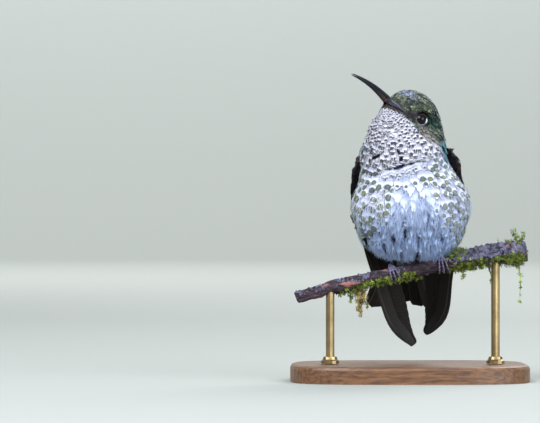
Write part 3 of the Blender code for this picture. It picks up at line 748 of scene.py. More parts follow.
def closed_vanes(name, points, out, thick, across, stretch, vane):
    """Thin lens-shaped vanes from grids of points, and each point's place on its own vane."""
    count, rows, columns = points.shape[:3]
    body = np.sqrt(np.clip(1 - across[None, None, :] ** 2, 0, 1))
    body = body * np.sqrt(np.clip(1 - np.abs(2 * stretch - 1) ** 3, 0, 1))[None, :, None]
    gap = out * (np.reshape(thick, (-1, 1, 1)) * body)[..., None] / 2
    inside = (slice(None), slice(1, rows - 1), slice(1, columns - 1))
    top = (points + gap).reshape(count, -1, 3)
    under = (points - gap)[inside].reshape(count, -1, 3)
    upper = np.arange(rows * columns).reshape(rows, columns)
    lower = upper.copy()
    lower[1:-1, 1:-1] = rows * columns + np.arange((rows - 2) * (columns - 2)).reshape(rows - 2, -1)
    steps = np.cross(points[:, :-1, 1:] - points[:, :-1, :-1], points[:, 1:, :-1] - points[:, :-1, :-1])
    rising = dot(steps, out[:, :-1, :-1]).sum() > 0
    quads = [grid_faces(upper), grid_faces(lower)[:, ::-1]]
    quads = np.concatenate(quads)[:, :: 1 if rising else -1]
    everything = np.concatenate([top, under], 1)
    per = everything.shape[1]
    faces = (quads[None] + (np.arange(count) * per)[:, None, None]).reshape(-1, 4)
    mesh = make_mesh(name, everything.reshape(-1, 3), faces)
    vane = np.concatenate([vane.reshape(count, -1, 2), vane[inside].reshape(count, -1, 2)], 1)
    set_uv(mesh, "vane", vane)
    return mesh, vane


PATCH = 0.003  # how much of the skin's unwrap one feather's patch takes


def lay_feathers(name, surface, rng, root, flow, size, looks, places, grid, style):
    """Closed thin vanes over a surface, all in one object.

    size holds each feather's length, width, lift and thickness; looks its colours and marks; places where
    its patch lies on the skin's unwrap; style how much the tips are rounded and frayed and the vanes cupped,
    how wide the root is, where the vane is widest, and how it lifts from its base.
    """
    style = dict(cup=0.22, root=0.45, full=0.62, base=0.3, rise=1.5) | style
    rows, columns = grid
    length, width, lift, thick = (np.asarray(v, float) for v in size)
    count = len(root)
    middle, normal, along, falls = paths_over(surface, root, flow, length, width / 2)

    across = np.linspace(-1, 1, columns)
    stretch = feather_rows(rows)
    fray = rng.random((count, columns)) * style["fray"] + (np.arange(columns) % 2) * style["fray"] * 0.6
    short = style["round"] * np.abs(across) ** 2.4 + fray
    v = stretch[None, :, None] * (1 - short[:, None, :])
    swell = style["root"] + (1 - style["root"]) * np.sin(np.clip(stretch / style["full"], 0, 1) * math.pi / 2)
    swell = swell * np.sqrt(np.clip(1 - smooth(style["full"], 1.25, stretch), 0.05, 1))
    q = across[None, None, :] * swell[None, :, None] * np.ones((count, 1, 1))

    centre = along_path(middle, v)
    out = unit(along_path(normal, v))
    ahead = unit(along_path(along, v))
    sideways = np.cross(out, ahead)
    fall = along_path(falls, v)
    drop = fall[..., 1] * (q * q + q) / 2 + fall[..., 0] * (q * q - q) / 2
    rise = 1 - (1 - v) ** style["rise"]
    tip_twist = (rng.random((count, 1, 1)) - 0.5) * 0.5
    low = style["base"]
    height = lift[:, None, None] * (low + (1 - low) * (rise * (1 + tip_twist * q) - style["cup"] * q * q))
    ripple = (rng.random((count, 1, columns)) - 0.5) * 0.16 * lift[:, None, None]
    height = height + ripple * v
    points = centre + sideways * (q * (width / 2)[:, None, None])[..., None]
    points = points + out * (drop + height)[..., None]
    vane = np.stack([np.broadcast_to(q / 2 + 0.5, v.shape), v], -1)
    mesh, vane = closed_vanes(name, points, out, thick, across, stretch, vane)
    set_uv(mesh, "OFBake", np.clip(places[:, None] + (vane - 0.5) * PATCH, 0, 1))
    looks = dict(looks, chance=rng.random(count))
    set_values(mesh, **{key: np.repeat(values, vane.shape[1], 0) for key, values in looks.items()})
    return mesh


# ---- the coat


def coat_sizes(points, flow, spread):
    """Gap, length, width, lift and thickness of the feathers rooted here."""
    across, gone, head = (points - PERCH)[:, 0], bill_gap(points), headness(points)
    gap = np.interp(gone, [2, 6, 12, 18, 26, 34], [0.52, 0.70, 0.98, 1.36, 2.15, 2.5])
    gap = gap * (1 - 0.16 * smooth(5, 12, across) * (1 - head))
    upper = smooth(-6.5, -4.5, head_places(points)[2]) * head
    gap = gap * (1 - upper) + np.interp(gone, [2, 8, 20], [0.46, 0.62, 0.9]) * upper
    belly, legs = belly_share(points), leg_share(points)
    gap = gap * (1 - 0.36 * belly) * (1 - 0.5 * legs)
    past = [parting_nearness(points - flow * back) for back in (0.4, 0.9, 1.5, 2.2)]
    gap = gap * (1 - 0.6 * np.max(past, 0))
    gap = gap * (1 - 0.28 * smooth(4.2, 3.0, eye_gap(points)))
    lift = coat_depth(points) * (0.90 + 0.45 * belly) * (1 - 0.6 * legs)
    ruffled = smooth(-4, -10, across) * smooth(25, 20, gone) * smooth(4, 8, gone) * (1 - upper)
    return dict(
        gap=gap * spread,
        length=gap * (2.7 + 1.5 * belly),
        width=gap * (1.62 + 0.10 * belly),
        lift=lift * (1 + 0.9 * ruffled),
        thick=0.05 + 0.03 * gap,
    )


def leg_share(points):
    """1 on the short legs over the twig."""
    _, y, z = (points - PERCH).T
    return smooth(6.6, 5.2, z) * smooth(5.4, 4.2, np.abs(y))


def belly_share(points):
    """1 in the belly's soft white middle."""
    x, _, z = (points - PERCH).T
    half = 5.5 + 7.5 * smooth(31, 10, z)
    middle = smooth(half + 2.0, half - 2.0, np.abs(x - BREAST_MIDDLE))
    return middle * smooth(29, 22, z) * smooth(95, 60, body_turn(points))


def tufted(rng, points, normals, flow, lengths):
    """The belly's feathers turned so that their tips meet in soft tufts."""
    belly = belly_share(points)
    soft = np.flatnonzero(belly > 0.3)
    middles = soft[spaced(rng, points[soft], np.full(len(soft), 3.1))]
    tree = point_tree(points[middles])
    flow = flow.copy()
    for i in soft:
        lead = middles[tree.find(points[i])[1]]
        target = points[lead] + flow[lead] * lengths[lead] * 1.15
        pull = unit(flattened(target - points[i], normals[i]))
        flow[i] = unit(flow[i] * (1 - 0.62 * belly[i]) + pull * 0.62 * belly[i])
    return flow


def room_ahead(points, flow, length):
    """Lengths cut back so that no feather lies over a parting, an eye or the twig."""
    share = np.linspace(0.25, 1.0, 16)
    ahead = points[:, None] + flow[:, None] * (length[:, None] * share)[..., None]
    blocked = parting_nearness(ahead) > 0.6
    for eye in SIDES:
        forward, up, outward = eye_places(ahead, eye)
        blocked |= (np.hypot(forward, up) < EYE_OPENING + 0.1) & (outward > -1)
    blocked |= on_flap(ahead, -0.12)
    beside = ahead - PERCH
    slope = TWIG_SLOPE * beside[..., 0]
    blocked |= np.hypot(beside[..., 1], beside[..., 2] - slope) < TWIG_RADIUS + 0.25
    first = np.where(blocked.any(1), blocked.argmax(1), len(share))
    room = np.append(share, 1.0)[first]
    return length * np.where(first < len(share), np.maximum(room - 0.06, 0.2), 1.0)


def swung(rng, flow, normals, spread):
    """Directions turned at random within a spread of degrees."""
    turn = ((rng.random(len(flow)) - 0.5) * np.radians(spread))[:, None]
    return flow * np.cos(turn) + np.cross(normals, flow) * np.sin(turn)


@functools.cache
def coat_plan(spread):
    """All the feathers of head and body: roots, lie, sizes and markings."""
    surface = Surface(bpy.data.objects["skin"].data)
    rng = np.random.default_rng(11)
    points, normals, places = surface.scatter(rng, 42000)
    keep = spaced(rng, points, coat_sizes(points, lie(points, normals), spread)["gap"])
    points, normals, places = picked(keep, points, normals, places)
    x, y, z = (points - PERCH).T
    ok = parting_nearness(points) < 0.5
    for eye in SIDES:
        forward, up, outward = eye_places(points, eye)
        ok &= (np.hypot(forward, up) > EYE_OPENING + 0.15) | (outward < -1)
    ok &= (np.hypot(y, z - TWIG_SLOPE * x) > TWIG_RADIUS + 0.5) & ~on_flap(points)
    points, normals, places = picked(ok, points, normals, places)
    flow = lie(points, normals)
    sizes = coat_sizes(points, flow, spread)
    flow = tufted(rng, points, normals, flow, sizes["length"])
    flow = swung(rng, flow, normals, 22)
    sizes["length"] = sizes["length"] * (0.85 + 0.3 * rng.random(len(points)))
    sizes["length"] = room_ahead(points, flow, sizes["length"])
    sizes["lift"] = sizes["lift"] * (0.75 + 0.5 * rng.random(len(points)))
    return dict(
        surface=surface, points=points, places=places, flow=flow, sizes=sizes, looks=markings(rng, points)
    )


def coat_regions(points):
    """Which piece of the coat each feather belongs to."""
    head, turn = headness(points), body_turn(points)
    region = np.full(len(points), "breast", dtype=object)
    region[belly_share(points) > 0.5] = "belly"
    region[(turn > 100) & (head < 0.5)] = "back"
    region[(bill_gap(points) < 25) & (turn < 105) & (region != "belly")] = "throat"
    region[(head > 0.5) & (head_places(points)[2] > -6.2)] = "head"
    region[under_tail(points) > 0.5] = "vent"
    region[leg_share(points) > 0.5] = "legs"
    return region


COAT_PIECES = {
    "head": ("crown_feathers", (6, 7), dict(round=0.40, fray=0.14, cup=0.25)),
    "throat": ("throat_feathers", (7, 9), dict(round=0.36, fray=0.20, cup=0.30)),
    "breast": ("breast_feathers", (8, 13), dict(round=0.34, fray=0.15, cup=0.30)),
    "belly": ("breast_feathers", (8, 11), dict(round=0.42, fray=0.36, cup=0.60, base=0.2)),
    "back": ("back_feathers", (7, 9), dict(round=0.40, fray=0.07, cup=0.25)),
    "vent": ("vent_feathers", (7, 9), dict(round=0.36, fray=0.22, cup=0.25)),
    "legs": ("leg_down", (6, 7), dict(round=0.25, fray=0.3, cup=0.2)),
}


# Where a strand's rings are along it, and half their width.
DOWN_RINGS = ((0.0, 0.055), (0.4, 0.05), (0.75, 0.032), (1.0, 0.006))


def build_down(settings, finish):
    """Fine pale strands that stand between and over the feathers of the front."""
    plan, count = coat_plan(settings.spacing), settings.strands
    rng = np.random.default_rng(51)
    points, normals, places = plan["surface"].scatter(rng, count * 3)
    looks = markings(rng, points)
    flow = lie(points, normals)
    pale = smooth(0.25, 0.5, looks["outer"].mean(1)) * (1 - looks["gloss"])
    pale = pale * (1 - 0.9 * parting_nearness(points))
    want = pale * (0.28 + 0.72 * np.maximum(belly_share(points), 0.3 * smooth(50, 75, body_turn(points))))
    want = want * ~on_flap(points, 0.5) * (headness(points) < 0.9) * (eye_gap(points) > 3.6)
    pick = np.flatnonzero(rng.random(len(points)) < want)[:count]
    points, normals, places, flow, colour = picked(pick, points, normals, places, flow, looks["outer"])
    sizes = coat_sizes(points, flow, 1.0)
    flow = swung(rng, flow, normals, 60)
    length = room_ahead(points, flow, sizes["length"] * (0.45 + 0.4 * rng.random(len(pick))))
    sideways = np.cross(normals, flow)
    sway = (rng.random(len(pick)) - 0.5)[:, None] * sideways
    stand = sizes["lift"] * (0.30 + 0.45 * rng.random(len(pick)))
    turns = np.array([0, 2, 4])[:, None] * math.pi / 3
    round_it = sideways[:, None] * np.cos(turns) + normals[:, None] * np.sin(turns)
    rings = []
    for share, half in DOWN_RINGS:
        reach = (length * share)[:, None]
        height = (sizes["lift"] * 0.55 + stand * share**1.3)[:, None] - reach**2 / 44
        core = points + flow * reach + sway * reach * share * 0.6 + normals * height
        rings.append(core[:, None] + half * round_it)
    strands = np.concatenate(rings, 1)
    per = strands.shape[1]
    faces = [(0, 2, 1), (per - 3, per - 2, per - 1)]
    for a, b, c, d in grid_faces(round_grid(len(rings), 3)):
        faces += [(a, b, c), (a, c, d)]
    faces = (np.array(faces)[None] + (np.arange(len(pick)) * per)[:, None, None]).reshape(-1, 3)
    mesh = make_mesh("coat_down", strands.reshape(-1, 3), faces)
    set_uv(mesh, "vane", np.tile((0.5, 0.8), (len(pick) * per, 1)))
    patch = [(side, share - 0.5) for share, _ in DOWN_RINGS for side in (-0.5, 0.0, 0.5)]
    set_uv(mesh, "OFBake", np.clip(places[:, None] + np.array(patch) * PATCH, 0, 1))
    colour = np.repeat(colour * 0.96, per, 0)
    dull = np.zeros(len(colour))
    set_values(mesh, inner=colour, outer=colour, mark=np.zeros_like(colour), gloss=dull, split=dull)
    as_piece(mesh, finish, "breast_feathers")


def build_coat(region, spread, finish):
    """One region of the coat, a piece for each side of the bird."""
    plan = coat_plan(spread)
    slot, grid, style = COAT_PIECES[region]
    rng = np.random.default_rng(100 + list(COAT_PIECES).index(region))
    on_left = plan["points"][:, 0] > PERCH[0] + BODY_MIDDLE
    for side, on_side in zip(SIDES, (on_left, ~on_left)):
        pick = np.flatnonzero((coat_regions(plan["points"]) == region) & on_side)
        root, flow, places = picked(pick, plan["points"], plan["flow"], plan["places"])
        sizes = [plan["sizes"][key][pick] for key in ("length", "width", "lift", "thick")]
        looks = {key: value[pick] for key, value in plan["looks"].items()}
        name = f"coat_{region}_{side}"
        mesh = lay_feathers(name, plan["surface"], rng, root, flow, sizes, looks, places, grid, style)
        as_piece(mesh, finish, slot)


# ---- finishes


def operation(kind, reflected=False):
    """A method of a wire that adds a Math node of this kind."""

    def method(self, *others):
        values = (*others, self) if reflected else (self, *others)
        return self.graph.node("ShaderNodeMath", {"operation": kind}, dict(enumerate(values)))

    return method


class Wire:
    """A node's output, for Python expressions."""

    def __init__(self, graph, socket):
        self.graph, self.socket = graph, socket

    def __getitem__(self, name):
        return Wire(self.graph, self.socket.node.outputs[name])

    __add__ = __radd__ = operation("ADD")
    __mul__ = __rmul__ = operation("MULTIPLY")
    __sub__, __rsub__ = operation("SUBTRACT"), operation("SUBTRACT", reflected=True)
    __truediv__, __rtruediv__ = operation("DIVIDE"), operation("DIVIDE", reflected=True)
    __abs__, sine, root, most = (operation(kind) for kind in ("ABSOLUTE", "SINE", "SQRT", "MAXIMUM"))

    def step(self, low, high):
        """A soft step from 0 at low to 1 at high."""
        settings = {"data_type": "FLOAT", "interpolation_type": "SMOOTHSTEP", "clamp": True}
        values = {"Value": self, "From Min": low, "From Max": high}
        return self.graph.node("ShaderNodeMapRange", settings, values)


class Graph:
    """A tree of nodes in the making."""

    def __init__(self, tree):
        self.tree = tree

    def node(self, kind, settings=None, values=None, output=0):
        """Adds a node: its settings first, then the values or links of its sockets."""
        made = self.tree.nodes.new(kind)
        for key, value in (settings or {}).items():
            setattr(made, key, value)
        for key, value in (values or {}).items():
            if isinstance(value, Wire):
                self.tree.links.new(value.socket, made.inputs[key])
            else:
                made.inputs[key].default_value = value
        return Wire(self, made.outputs[output])

    def vector(self, operation, a, b):
        return self.node("ShaderNodeVectorMath", {"operation": operation}, {0: a, 1: b})


class Finish(Graph):
    """A material in the making."""

    def __init__(self, name, specular=0.5, **constants):
        self.material = bpy.data.materials.new(name)
        self.material.use_nodes = True
        super().__init__(self.material.node_tree)
        self.surface = next(n for n in self.tree.nodes if n.type == "BSDF_PRINCIPLED")
        self.surface.inputs["Specular IOR Level"].default_value = specular
        for socket, value in constants.items():
            self.surface.inputs[socket.replace("_", " ").title()].default_value = value
        place = self.node("ShaderNodeTexCoord", output="Object")
        self.place = self.vector("MULTIPLY", place, (1 / MM, 1 / MM, 1 / MM))

    def stretched(self, *factors):
        """The place on the object, stretched by three factors."""
        return self.vector("MULTIPLY", self.place, factors)

    def parts(self, vector):
        """The three parts of a vector or a colour."""
        whole = self.node("ShaderNodeSeparateXYZ", values={0: vector})
        return whole, whole["Y"], whole["Z"]

    def noise(self, scale, detail=3.0, rough=0.55, place=None, output="Fac"):
        values = {"Vector": place or self.place, "Scale": scale, "Detail": detail, "Roughness": rough}
        return self.node("ShaderNodeTexNoise", None, values, output)

    def colours(self, name):
        return self.node("ShaderNodeAttribute", {"attribute_name": name}, output="Color")

    def number(self, name):
        return self.colours(name)["Fac"]

    def mix(self, mask, low, high, blend="MIX"):
        """Two colours mixed by a mask."""
        low, high = (c if isinstance(c, Wire) else (*c[:3], 1.0) for c in (low, high))
        settings = {"data_type": "RGBA", "blend_type": blend}
        return self.node("ShaderNodeMix", settings, {0: mask, 6: low, 7: high}, 2)

    def base(self, mask, low, high):
        """The first two colours of the finish."""
        self.colour = self.mix(mask, low, high)

    def lay(self, mask, colour, blend="MIX"):
        """Lays one more colour over the finish where a mask says."""
        self.colour = self.mix(mask, self.colour, colour, blend)

    def done(self, rough=None, relief=None, depth=0.1, strength=0.5, metal=None):
        """Feeds the surface, with bumps of a depth in millimetres, and gives the material."""
        if relief:
            values = {"Strength": strength, "Distance": depth * MM, "Height": relief}
            relief = self.node("ShaderNodeBump", None, values)
        wires = {"Base Color": self.colour, "Roughness": rough, "Metallic": metal, "Normal": relief}
        for name, wire in wires.items():
            if wire:
                self.tree.links.new(wire.socket, self.surface.inputs[name])
        return self.material


def plumage_finish(name):
    """A marked middle with a darker rim on a paler vane, a dull root, fine barbs and painted shade in the
    splits between strands.
    """
    make = Finish(name, specular=0.25, sheen_weight=0.12, sheen_roughness=0.4)
    u, v, _ = make.parts(make.node("ShaderNodeUVMap", {"uv_map": "vane"}))
    wide, long, centre = make.parts(make.colours("mark"))
    grain = make.noise(1.6, 2.0)
    off = (u - 0.5) * 2
    reach_u = off / wide.most(0.001)
    reach_v = (v - centre) / long.most(0.001)
    away = (reach_u * reach_u + reach_v * reach_v).root() + (grain - 0.5) * 0.5
    inside = (1 - away.step(0.78, 1.18)) * wide.step(0.15, 0.35)
    inner, outer = make.colours("inner"), make.colours("outer")
    rim = make.mix(1.0, inner, (0.40, 0.42, 0.48), "MULTIPLY")
    make.base(inside, outer, make.mix(away.step(0.35, 0.85) * 0.6, inner, rim))
    slant = (v * 55.0 - abs(off) * 16.0).sine()
    make.lay((slant + 1) * 0.07, (0.02, 0.02, 0.025))
    # painted shade in the splits between the vane's strands
    strands = (off * 10.0 + make.number("chance") * 6.0 + grain * 2.0).sine()
    parted = strands.step(0.35, 0.9) * make.number("split") * v.step(0.45, 0.7)
    make.lay(parted * 0.62, make.mix(1.0, outer, (0.22, 0.22, 0.32), "MULTIPLY"))
    make.lay(v.step(0.56, 0.2) * 0.85, make.mix(1.0, outer, (0.30, 0.30, 0.40), "MULTIPLY"))
    make.lay(grain.step(0.35, 0.75) * 0.22, (0.9, 0.9, 1.0), "MULTIPLY")
    gloss = make.number("gloss")
    rough = 0.72 - gloss * 0.36 + (grain - 0.5) * 0.1
    return make.done(rough, slant * 0.5 + abs(off) * -0.6, 0.05, 0.5, gloss * 0.55)


def skin_finish():
    """Under-plumage between the feathers."""
    make = Finish("under plumage", specular=0.15, roughness=0.9)
    shade = make.noise(2.2, 4.0).step(0.45, 0.8) * 0.35
    make.base(shade, make.colours("under"), (0.03, 0.03, 0.04))
    return make.done(None, make.noise(5.0), 0.12, 0.6)


# ---- studio


def look_at(thing, place, target):
    """Puts a lamp or camera in its place, facing a target."""
    thing.location = Vector(place) * MM
    away = Vector(target) - Vector(place)
    thing.rotation_euler = away.to_track_quat("-Z", "Y").to_euler()


CAMERA_RIGHT, CAMERA_UP = -49.1, 20.5  # from the twig under the bird
VIEW_WIDTH = 189.5  # how much of the bird's plane the camera sees from side to side


def build_camera(away, width):
    """A level camera that frames the bird on the right."""
    data = bpy.data.cameras.new("camera")
    data.sensor_width = 36.0
    data.lens = data.sensor_width * away / width
    data.clip_start, data.clip_end = 0.05, 50.0
    camera = new_object(data)
    place = PERCH + np.array([CAMERA_RIGHT, -away / MM, CAMERA_UP])
    look_at(camera, place, place + np.array([0, 1, 0]))
    bpy.context.scene.camera = camera


# The lamps: place and target in millimetres, width in metres, and colour.
BREAST = PERCH + (0, 0, 20)
LAMPS = {
    "key": (PERCH + (-700, -900, 1100), BREAST, 1.0, (0.96, 0.98, 1.0)),
    "fill": (PERCH + (900, -1000, 350), BREAST, 1.2, (0.90, 0.95, 1.0)),
    "rim": (PERCH + (500, 900, 900), BREAST, 0.8, (1.0, 1.0, 1.0)),
    "backdrop": ((-200, 1900, 1700), (-200, 3900, 250), 2.0, (1.0, 1.0, 1.0)),
}


def build_lamp(name, power):
    """A soft square studio lamp."""
    place, target, width, colour = LAMPS[name]
    data = bpy.data.lights.new(name, "AREA")
    data.shape, data.size = "SQUARE", width
    data.energy, data.color = power, colour
    look_at(new_object(data), place, target)


def build_stage(settings):
    """Camera, lamps, a pale sky and the floor."""
    build_camera(settings.away, settings.width)
    bpy.context.scene.view_settings.view_transform = "Standard"
    for name in LAMPS:
        build_lamp(name, getattr(settings, name))
    world = bpy.context.scene.world or bpy.data.worlds.new("studio")
    bpy.context.scene.world = world
    world.use_nodes = True
    sky = world.node_tree.nodes["Background"].inputs
    sky[0].default_value, sky[1].default_value = (0.80, 0.88, 1.0, 1), 0.40
    floor = Finish("studio floor", roughness=0.9)
    floor.base(floor.parts(floor.place)[2].step(0.0, 900.0), settings.floor, settings.wall)
    build_floor(floor.done())


def build_floor(finish):
    """A pale floor that sweeps up into a backdrop all the way round."""
    flat, bend, top, around = 3000.0, 1000.0, 3500.0, 64
    profile = [(0.02, 0.0), (flat / 2, 0.0), (flat, 0.0)]
    turns = np.linspace(0, math.pi / 2, 13)[1:]
    profile += [(flat + bend * math.sin(t), bend - bend * math.cos(t)) for t in turns]
    profile += [(flat + bend, top)]
    points = [(r * math.cos(t), r * math.sin(t), z) for r, z in profile for t in full_turn(around)]
    faces = grid_faces(round_grid(len(profile), around))
    floor = new_object(make_mesh("studio_floor", points, faces))
    dress(floor, finish)


# ---- wings and tail


def cut_points(points, faces, origin, axis):
    """Where a plane cuts the edges of triangles."""
    height = (points - origin) @ axis
    a, b = faces[:, [0, 1, 2]].ravel(), faces[:, [1, 2, 0]].ravel()
    crossing = (height[a] < 0) != (height[b] < 0)
    a, b = a[crossing], b[crossing]
    share = (height[a] / (height[a] - height[b]))[:, None]
    return points[a] * (1 - share) + points[b] * share


class Plate:
    """The middle surface of a thin CAD plate, by a place along it and a place across it."""

    def __init__(self, names, along, across, stations=30, columns=9):
        points, faces = merged(NODES[name].data for name in names)
        tree = finder(points, faces)
        self.along = unit(along)
        self.out = unit(np.cross(across, self.along))
        self.across = np.cross(self.along, self.out)
        reach = points @ self.along
        self.length = np.ptp(reach)
        self.places = np.linspace(0.004, 0.996, stations)
        self.grid = np.empty((stations, columns, 3))
        for i, s in enumerate(self.places):
            cut = cut_points(points, faces, self.along * (reach.min() + s * self.length), self.along)
            side = cut @ self.across
            for j, u in enumerate(np.linspace(0, 1, columns)):
                guess = self.slid(cut.mean(0), side, np.clip(u, 0.04, 0.96))
                hits = []
                for way in (self.out, -self.out):
                    hit = tree.ray_cast(Vector(guess + way * 12), Vector(-way))[0]
                    hits += [] if hit is None else [np.array(hit)]
                self.grid[i, j] = self.slid(sum(hits) / len(hits) if hits else guess, side, u)
        self.width = norm(self.grid[:, -1] - self.grid[:, 0])
        relaxed(self.grid, 2)

    def slid(self, point, side, share):
        """A point slid to a share of the way between a cut's two edges."""
        return point + self.across * (side.min() * (1 - share) + side.max() * share - point @ self.across)

    def wide(self, s):
        """The width at a share of the length."""
        return np.interp(s, self.places, self.width)

    def at(self, s, u):
        """Points of the middle surface, running straight on past its edges."""
        last_s, last_u = len(self.places) - 1, self.grid.shape[1] - 1
        i = (np.asarray(s) - self.places[0]) / (self.places[-1] - self.places[0]) * last_s
        j = np.asarray(u) * last_u
        i0, j0 = np.clip(i.astype(int), 0, last_s - 1), np.clip(j.astype(int), 0, last_u - 1)
        fi, fj = (i - i0)[..., None], (j - j0)[..., None]
        before, after = (self.grid[i, j0] * (1 - fj) + self.grid[i, j0 + 1] * fj for i in (i0, i0 + 1))
        return before * (1 - fi) + after * fi


QUILL_STEPS = 1 - (1 - np.linspace(0, 1, 34)) ** 1.6  # closest together at the tip
QUILL_ACROSS = np.array([-1, -0.72, -0.4, -0.1, 0.0, 0.1, 0.4, 0.72, 1])


def quill(plate, start, end, place, lead, trail, layer, blunt=0.16, swell=0.0):
    """The grid of one flight or tail feather lying in a plate.

    place says where its shaft runs across the plate, for each share of the plate's length if that changes;
    lead and trail are the widths of its two vanes; layer is how far it lies in front of the plate's middle;
    blunt is how much of it the rounded tip takes; swell is how much wider the leading vane is near the tip.
    """
    t, q = QUILL_STEPS[:, None], QUILL_ACROSS[None, :]
    s = start + (end - start) * t
    root = 0.30 + 0.70 * smooth(0.0, 0.35, t)
    full = root * np.clip(1 - np.clip((t - 1 + blunt) / blunt, 0, 1) ** 2, 0.003, 1) ** 0.5
    lead = lead + swell * smooth(0.55, 0.95, t)
    back = np.abs(q) ** 1.5 * 0.35 * full
    shaft = place(s) if callable(place) else place
    u = shaft + np.where(q < 0, lead, trail) * full * q / np.maximum(plate.wide(s), 2.0)
    points = plate.at(s - back * 1.6 / plate.length, u)
    across = unit(plate.at(s, u + 0.02) - plate.at(s, u - 0.02))
    ahead = unit(plate.at(s + 0.01, u) - plate.at(s - 0.01, u))
    out = unit(np.cross(across, ahead))
    out = out * np.sign(dot(out, plate.out))[..., None]
    camber = -0.16 * (np.abs(q) ** 2) * full
    ridge = 0.07 * np.exp(-((q / 0.09) ** 2)) * (1 - 0.7 * t)
    points = points + out * (layer + camber + ridge)[..., None]
    return points, out, np.stack(np.broadcast_arrays(q / 2 + 0.5, t), -1)


def quill_piece(name, quills, thick, finish, slot, node):
    """Several stiff feathers in place of a CAD node, with a strip of the map for each."""
    points, out, vane = (np.stack(part) for part in zip(*quills))
    count = len(points)
    mesh, vane = closed_vanes(name, points, out, np.full(count, thick), QUILL_ACROSS, QUILL_STEPS, vane)
    strip = (np.arange(count)[:, None] + 0.06 + 0.88 * vane[..., 0]) / count
    set_uv(mesh, "OFBake", np.stack([strip, 0.02 + 0.96 * vane[..., 1]], -1))
    as_piece(mesh, finish, slot, node)


def wing_plate(side):
    """A folded wing's plate, from wrist to tip and from its front edge to the rear."""
    names = [f"wing_{side}_{part}" for part in ("coverts", "primaries", "secondaries")]
    points = node_points(*names)
    top, tip = points[points[:, 2].argmax()], points[points[:, 2].argmin()]
    return Plate(names, tip - top, np.array([-0.8 * SIDES[side], 0.6, 0.0]))


PRIMARY_ENDS = (0.65, 0.71, 0.765, 0.815, 0.86, 0.898, 0.93, 0.957, 0.98, 0.999)
SECONDARY_ENDS = (0.62, 0.605, 0.585, 0.56, 0.53, 0.49)
TIP_SWAY = {"left": -1.7, "right": 0.0}  # how far each wing's tip is drawn to its trailing side
COVERT_SEEDS = {"left": 41, "right": 42}


def build_quills(side, plate, facing, thick, finish):
    """A wing's ten primaries and six secondaries."""
    primaries = []
    outermost = len(PRIMARY_ENDS) - 1
    for k, end in enumerate(PRIMARY_ENDS):
        inward = outermost - k
        lead = 1.3 if inward else 1.1
        trail = 5.6 - 0.10 * inward

        def place(s, inward=inward, lead=lead, trail=trail):
            wide = np.maximum(plate.wide(s), 1.0)
            furthest = np.interp(s, PRIMARY_ENDS, np.arange(outermost, -1, -1.0))
            share = np.clip(inward / np.maximum(furthest, 1e-3), 0, 1) if inward else 0.0
            fan = np.maximum(wide - lead - trail * 0.6, 0.5) * share
            sway = TIP_SWAY[side] * smooth(0.68, 1.0, s) / wide
            return np.minimum((lead + fan) / wide, 0.55 + 0.4 * share) + sway

        layer = facing * (0.42 - 0.095 * inward)
        primaries.append(quill(plate, 0.34, end, place, lead, trail, layer, 0.15, 0.7))
    secondaries = []
    for k, end in enumerate(SECONDARY_ENDS):
        layer = facing * (-0.18 - 0.07 * k)
        secondaries.append(quill(plate, 0.16, end, 0.56 + 0.062 * k, 1.6, 2.3, layer))
    for kind, quills in (("primaries", primaries), ("secondaries", secondaries)):
        quill_piece(f"{kind}_{side}", quills, thick, finish, "wing_feathers", f"wing_{side}_{kind}")


def build_wing(side, thick, finish, arm_look, coat_finish):
    """A folded wing: its quills, its arm and the coverts over it."""
    plate = wing_plate(side)
    facing = -np.sign(plate.out[1])  # which way along the plate's normal looks to the front
    build_quills(side, plate, facing, thick, finish)
    arm = remeshed(joined_nodes(f"wing_arm_{side}", (f"wing_{side}_coverts",), 0.0), 0.4, 5)
    shrunk(arm, 0.35)
    unwrap(arm)
    as_piece(arm, arm_look, "wing_feathers", f"wing_{side}_coverts")
    surface = Surface(arm.data)
    rng = np.random.default_rng(COVERT_SEEDS[side])
    root, normal, places = surface.scatter(rng, 9000)
    share = ((root @ plate.along) - plate.grid[0].mean(0) @ plate.along) / plate.length
    gap = np.interp(share, [0.0, 0.12, 0.4], [0.95, 1.5, 2.3])
    root, normal, places, gap, share = picked(spaced(rng, root, gap), root, normal, places, gap, share)
    flow = unit(flattened(plate.along, normal) + 0.15 * plate.across)
    chance = rng.random(len(root))
    edge = smooth(4.0, 1.5, dot(root - plate.at(share, 0 * share), plate.across))
    green = smooth(-0.2, 0.4, dot(normal, plate.out * -facing)) * (1 - edge)
    dusky = blended(chance > 0.6, INK * 1.6, WING_BROWN)
    inner = blended(green, dusky, blended(chance, BRONZE_GREEN, BACK_GREEN) * 0.8)
    mark = np.tile([0.75, 0.3, 0.6], (len(root), 1))
    looks = dict(inner=inner, outer=inner * 0.5 + 0.004, gloss=0.5 * green, split=0 * green, mark=mark)
    size = (gap * 3.0, gap * 1.7, 0.30 + 0.1 * gap, 0.05 + 0.02 * gap)
    style = dict(round=0.3, fray=0.05)
    coat = lay_feathers(f"coat_wing_{side}", surface, rng, root, flow, size, looks, places, (8, 7), style)
    as_piece(coat, coat_finish, "wing_feathers")


TAIL_NODES = ("tail_middle", "tail_left_inner", "tail_right_inner", "tail_left_outer", "tail_right_outer")


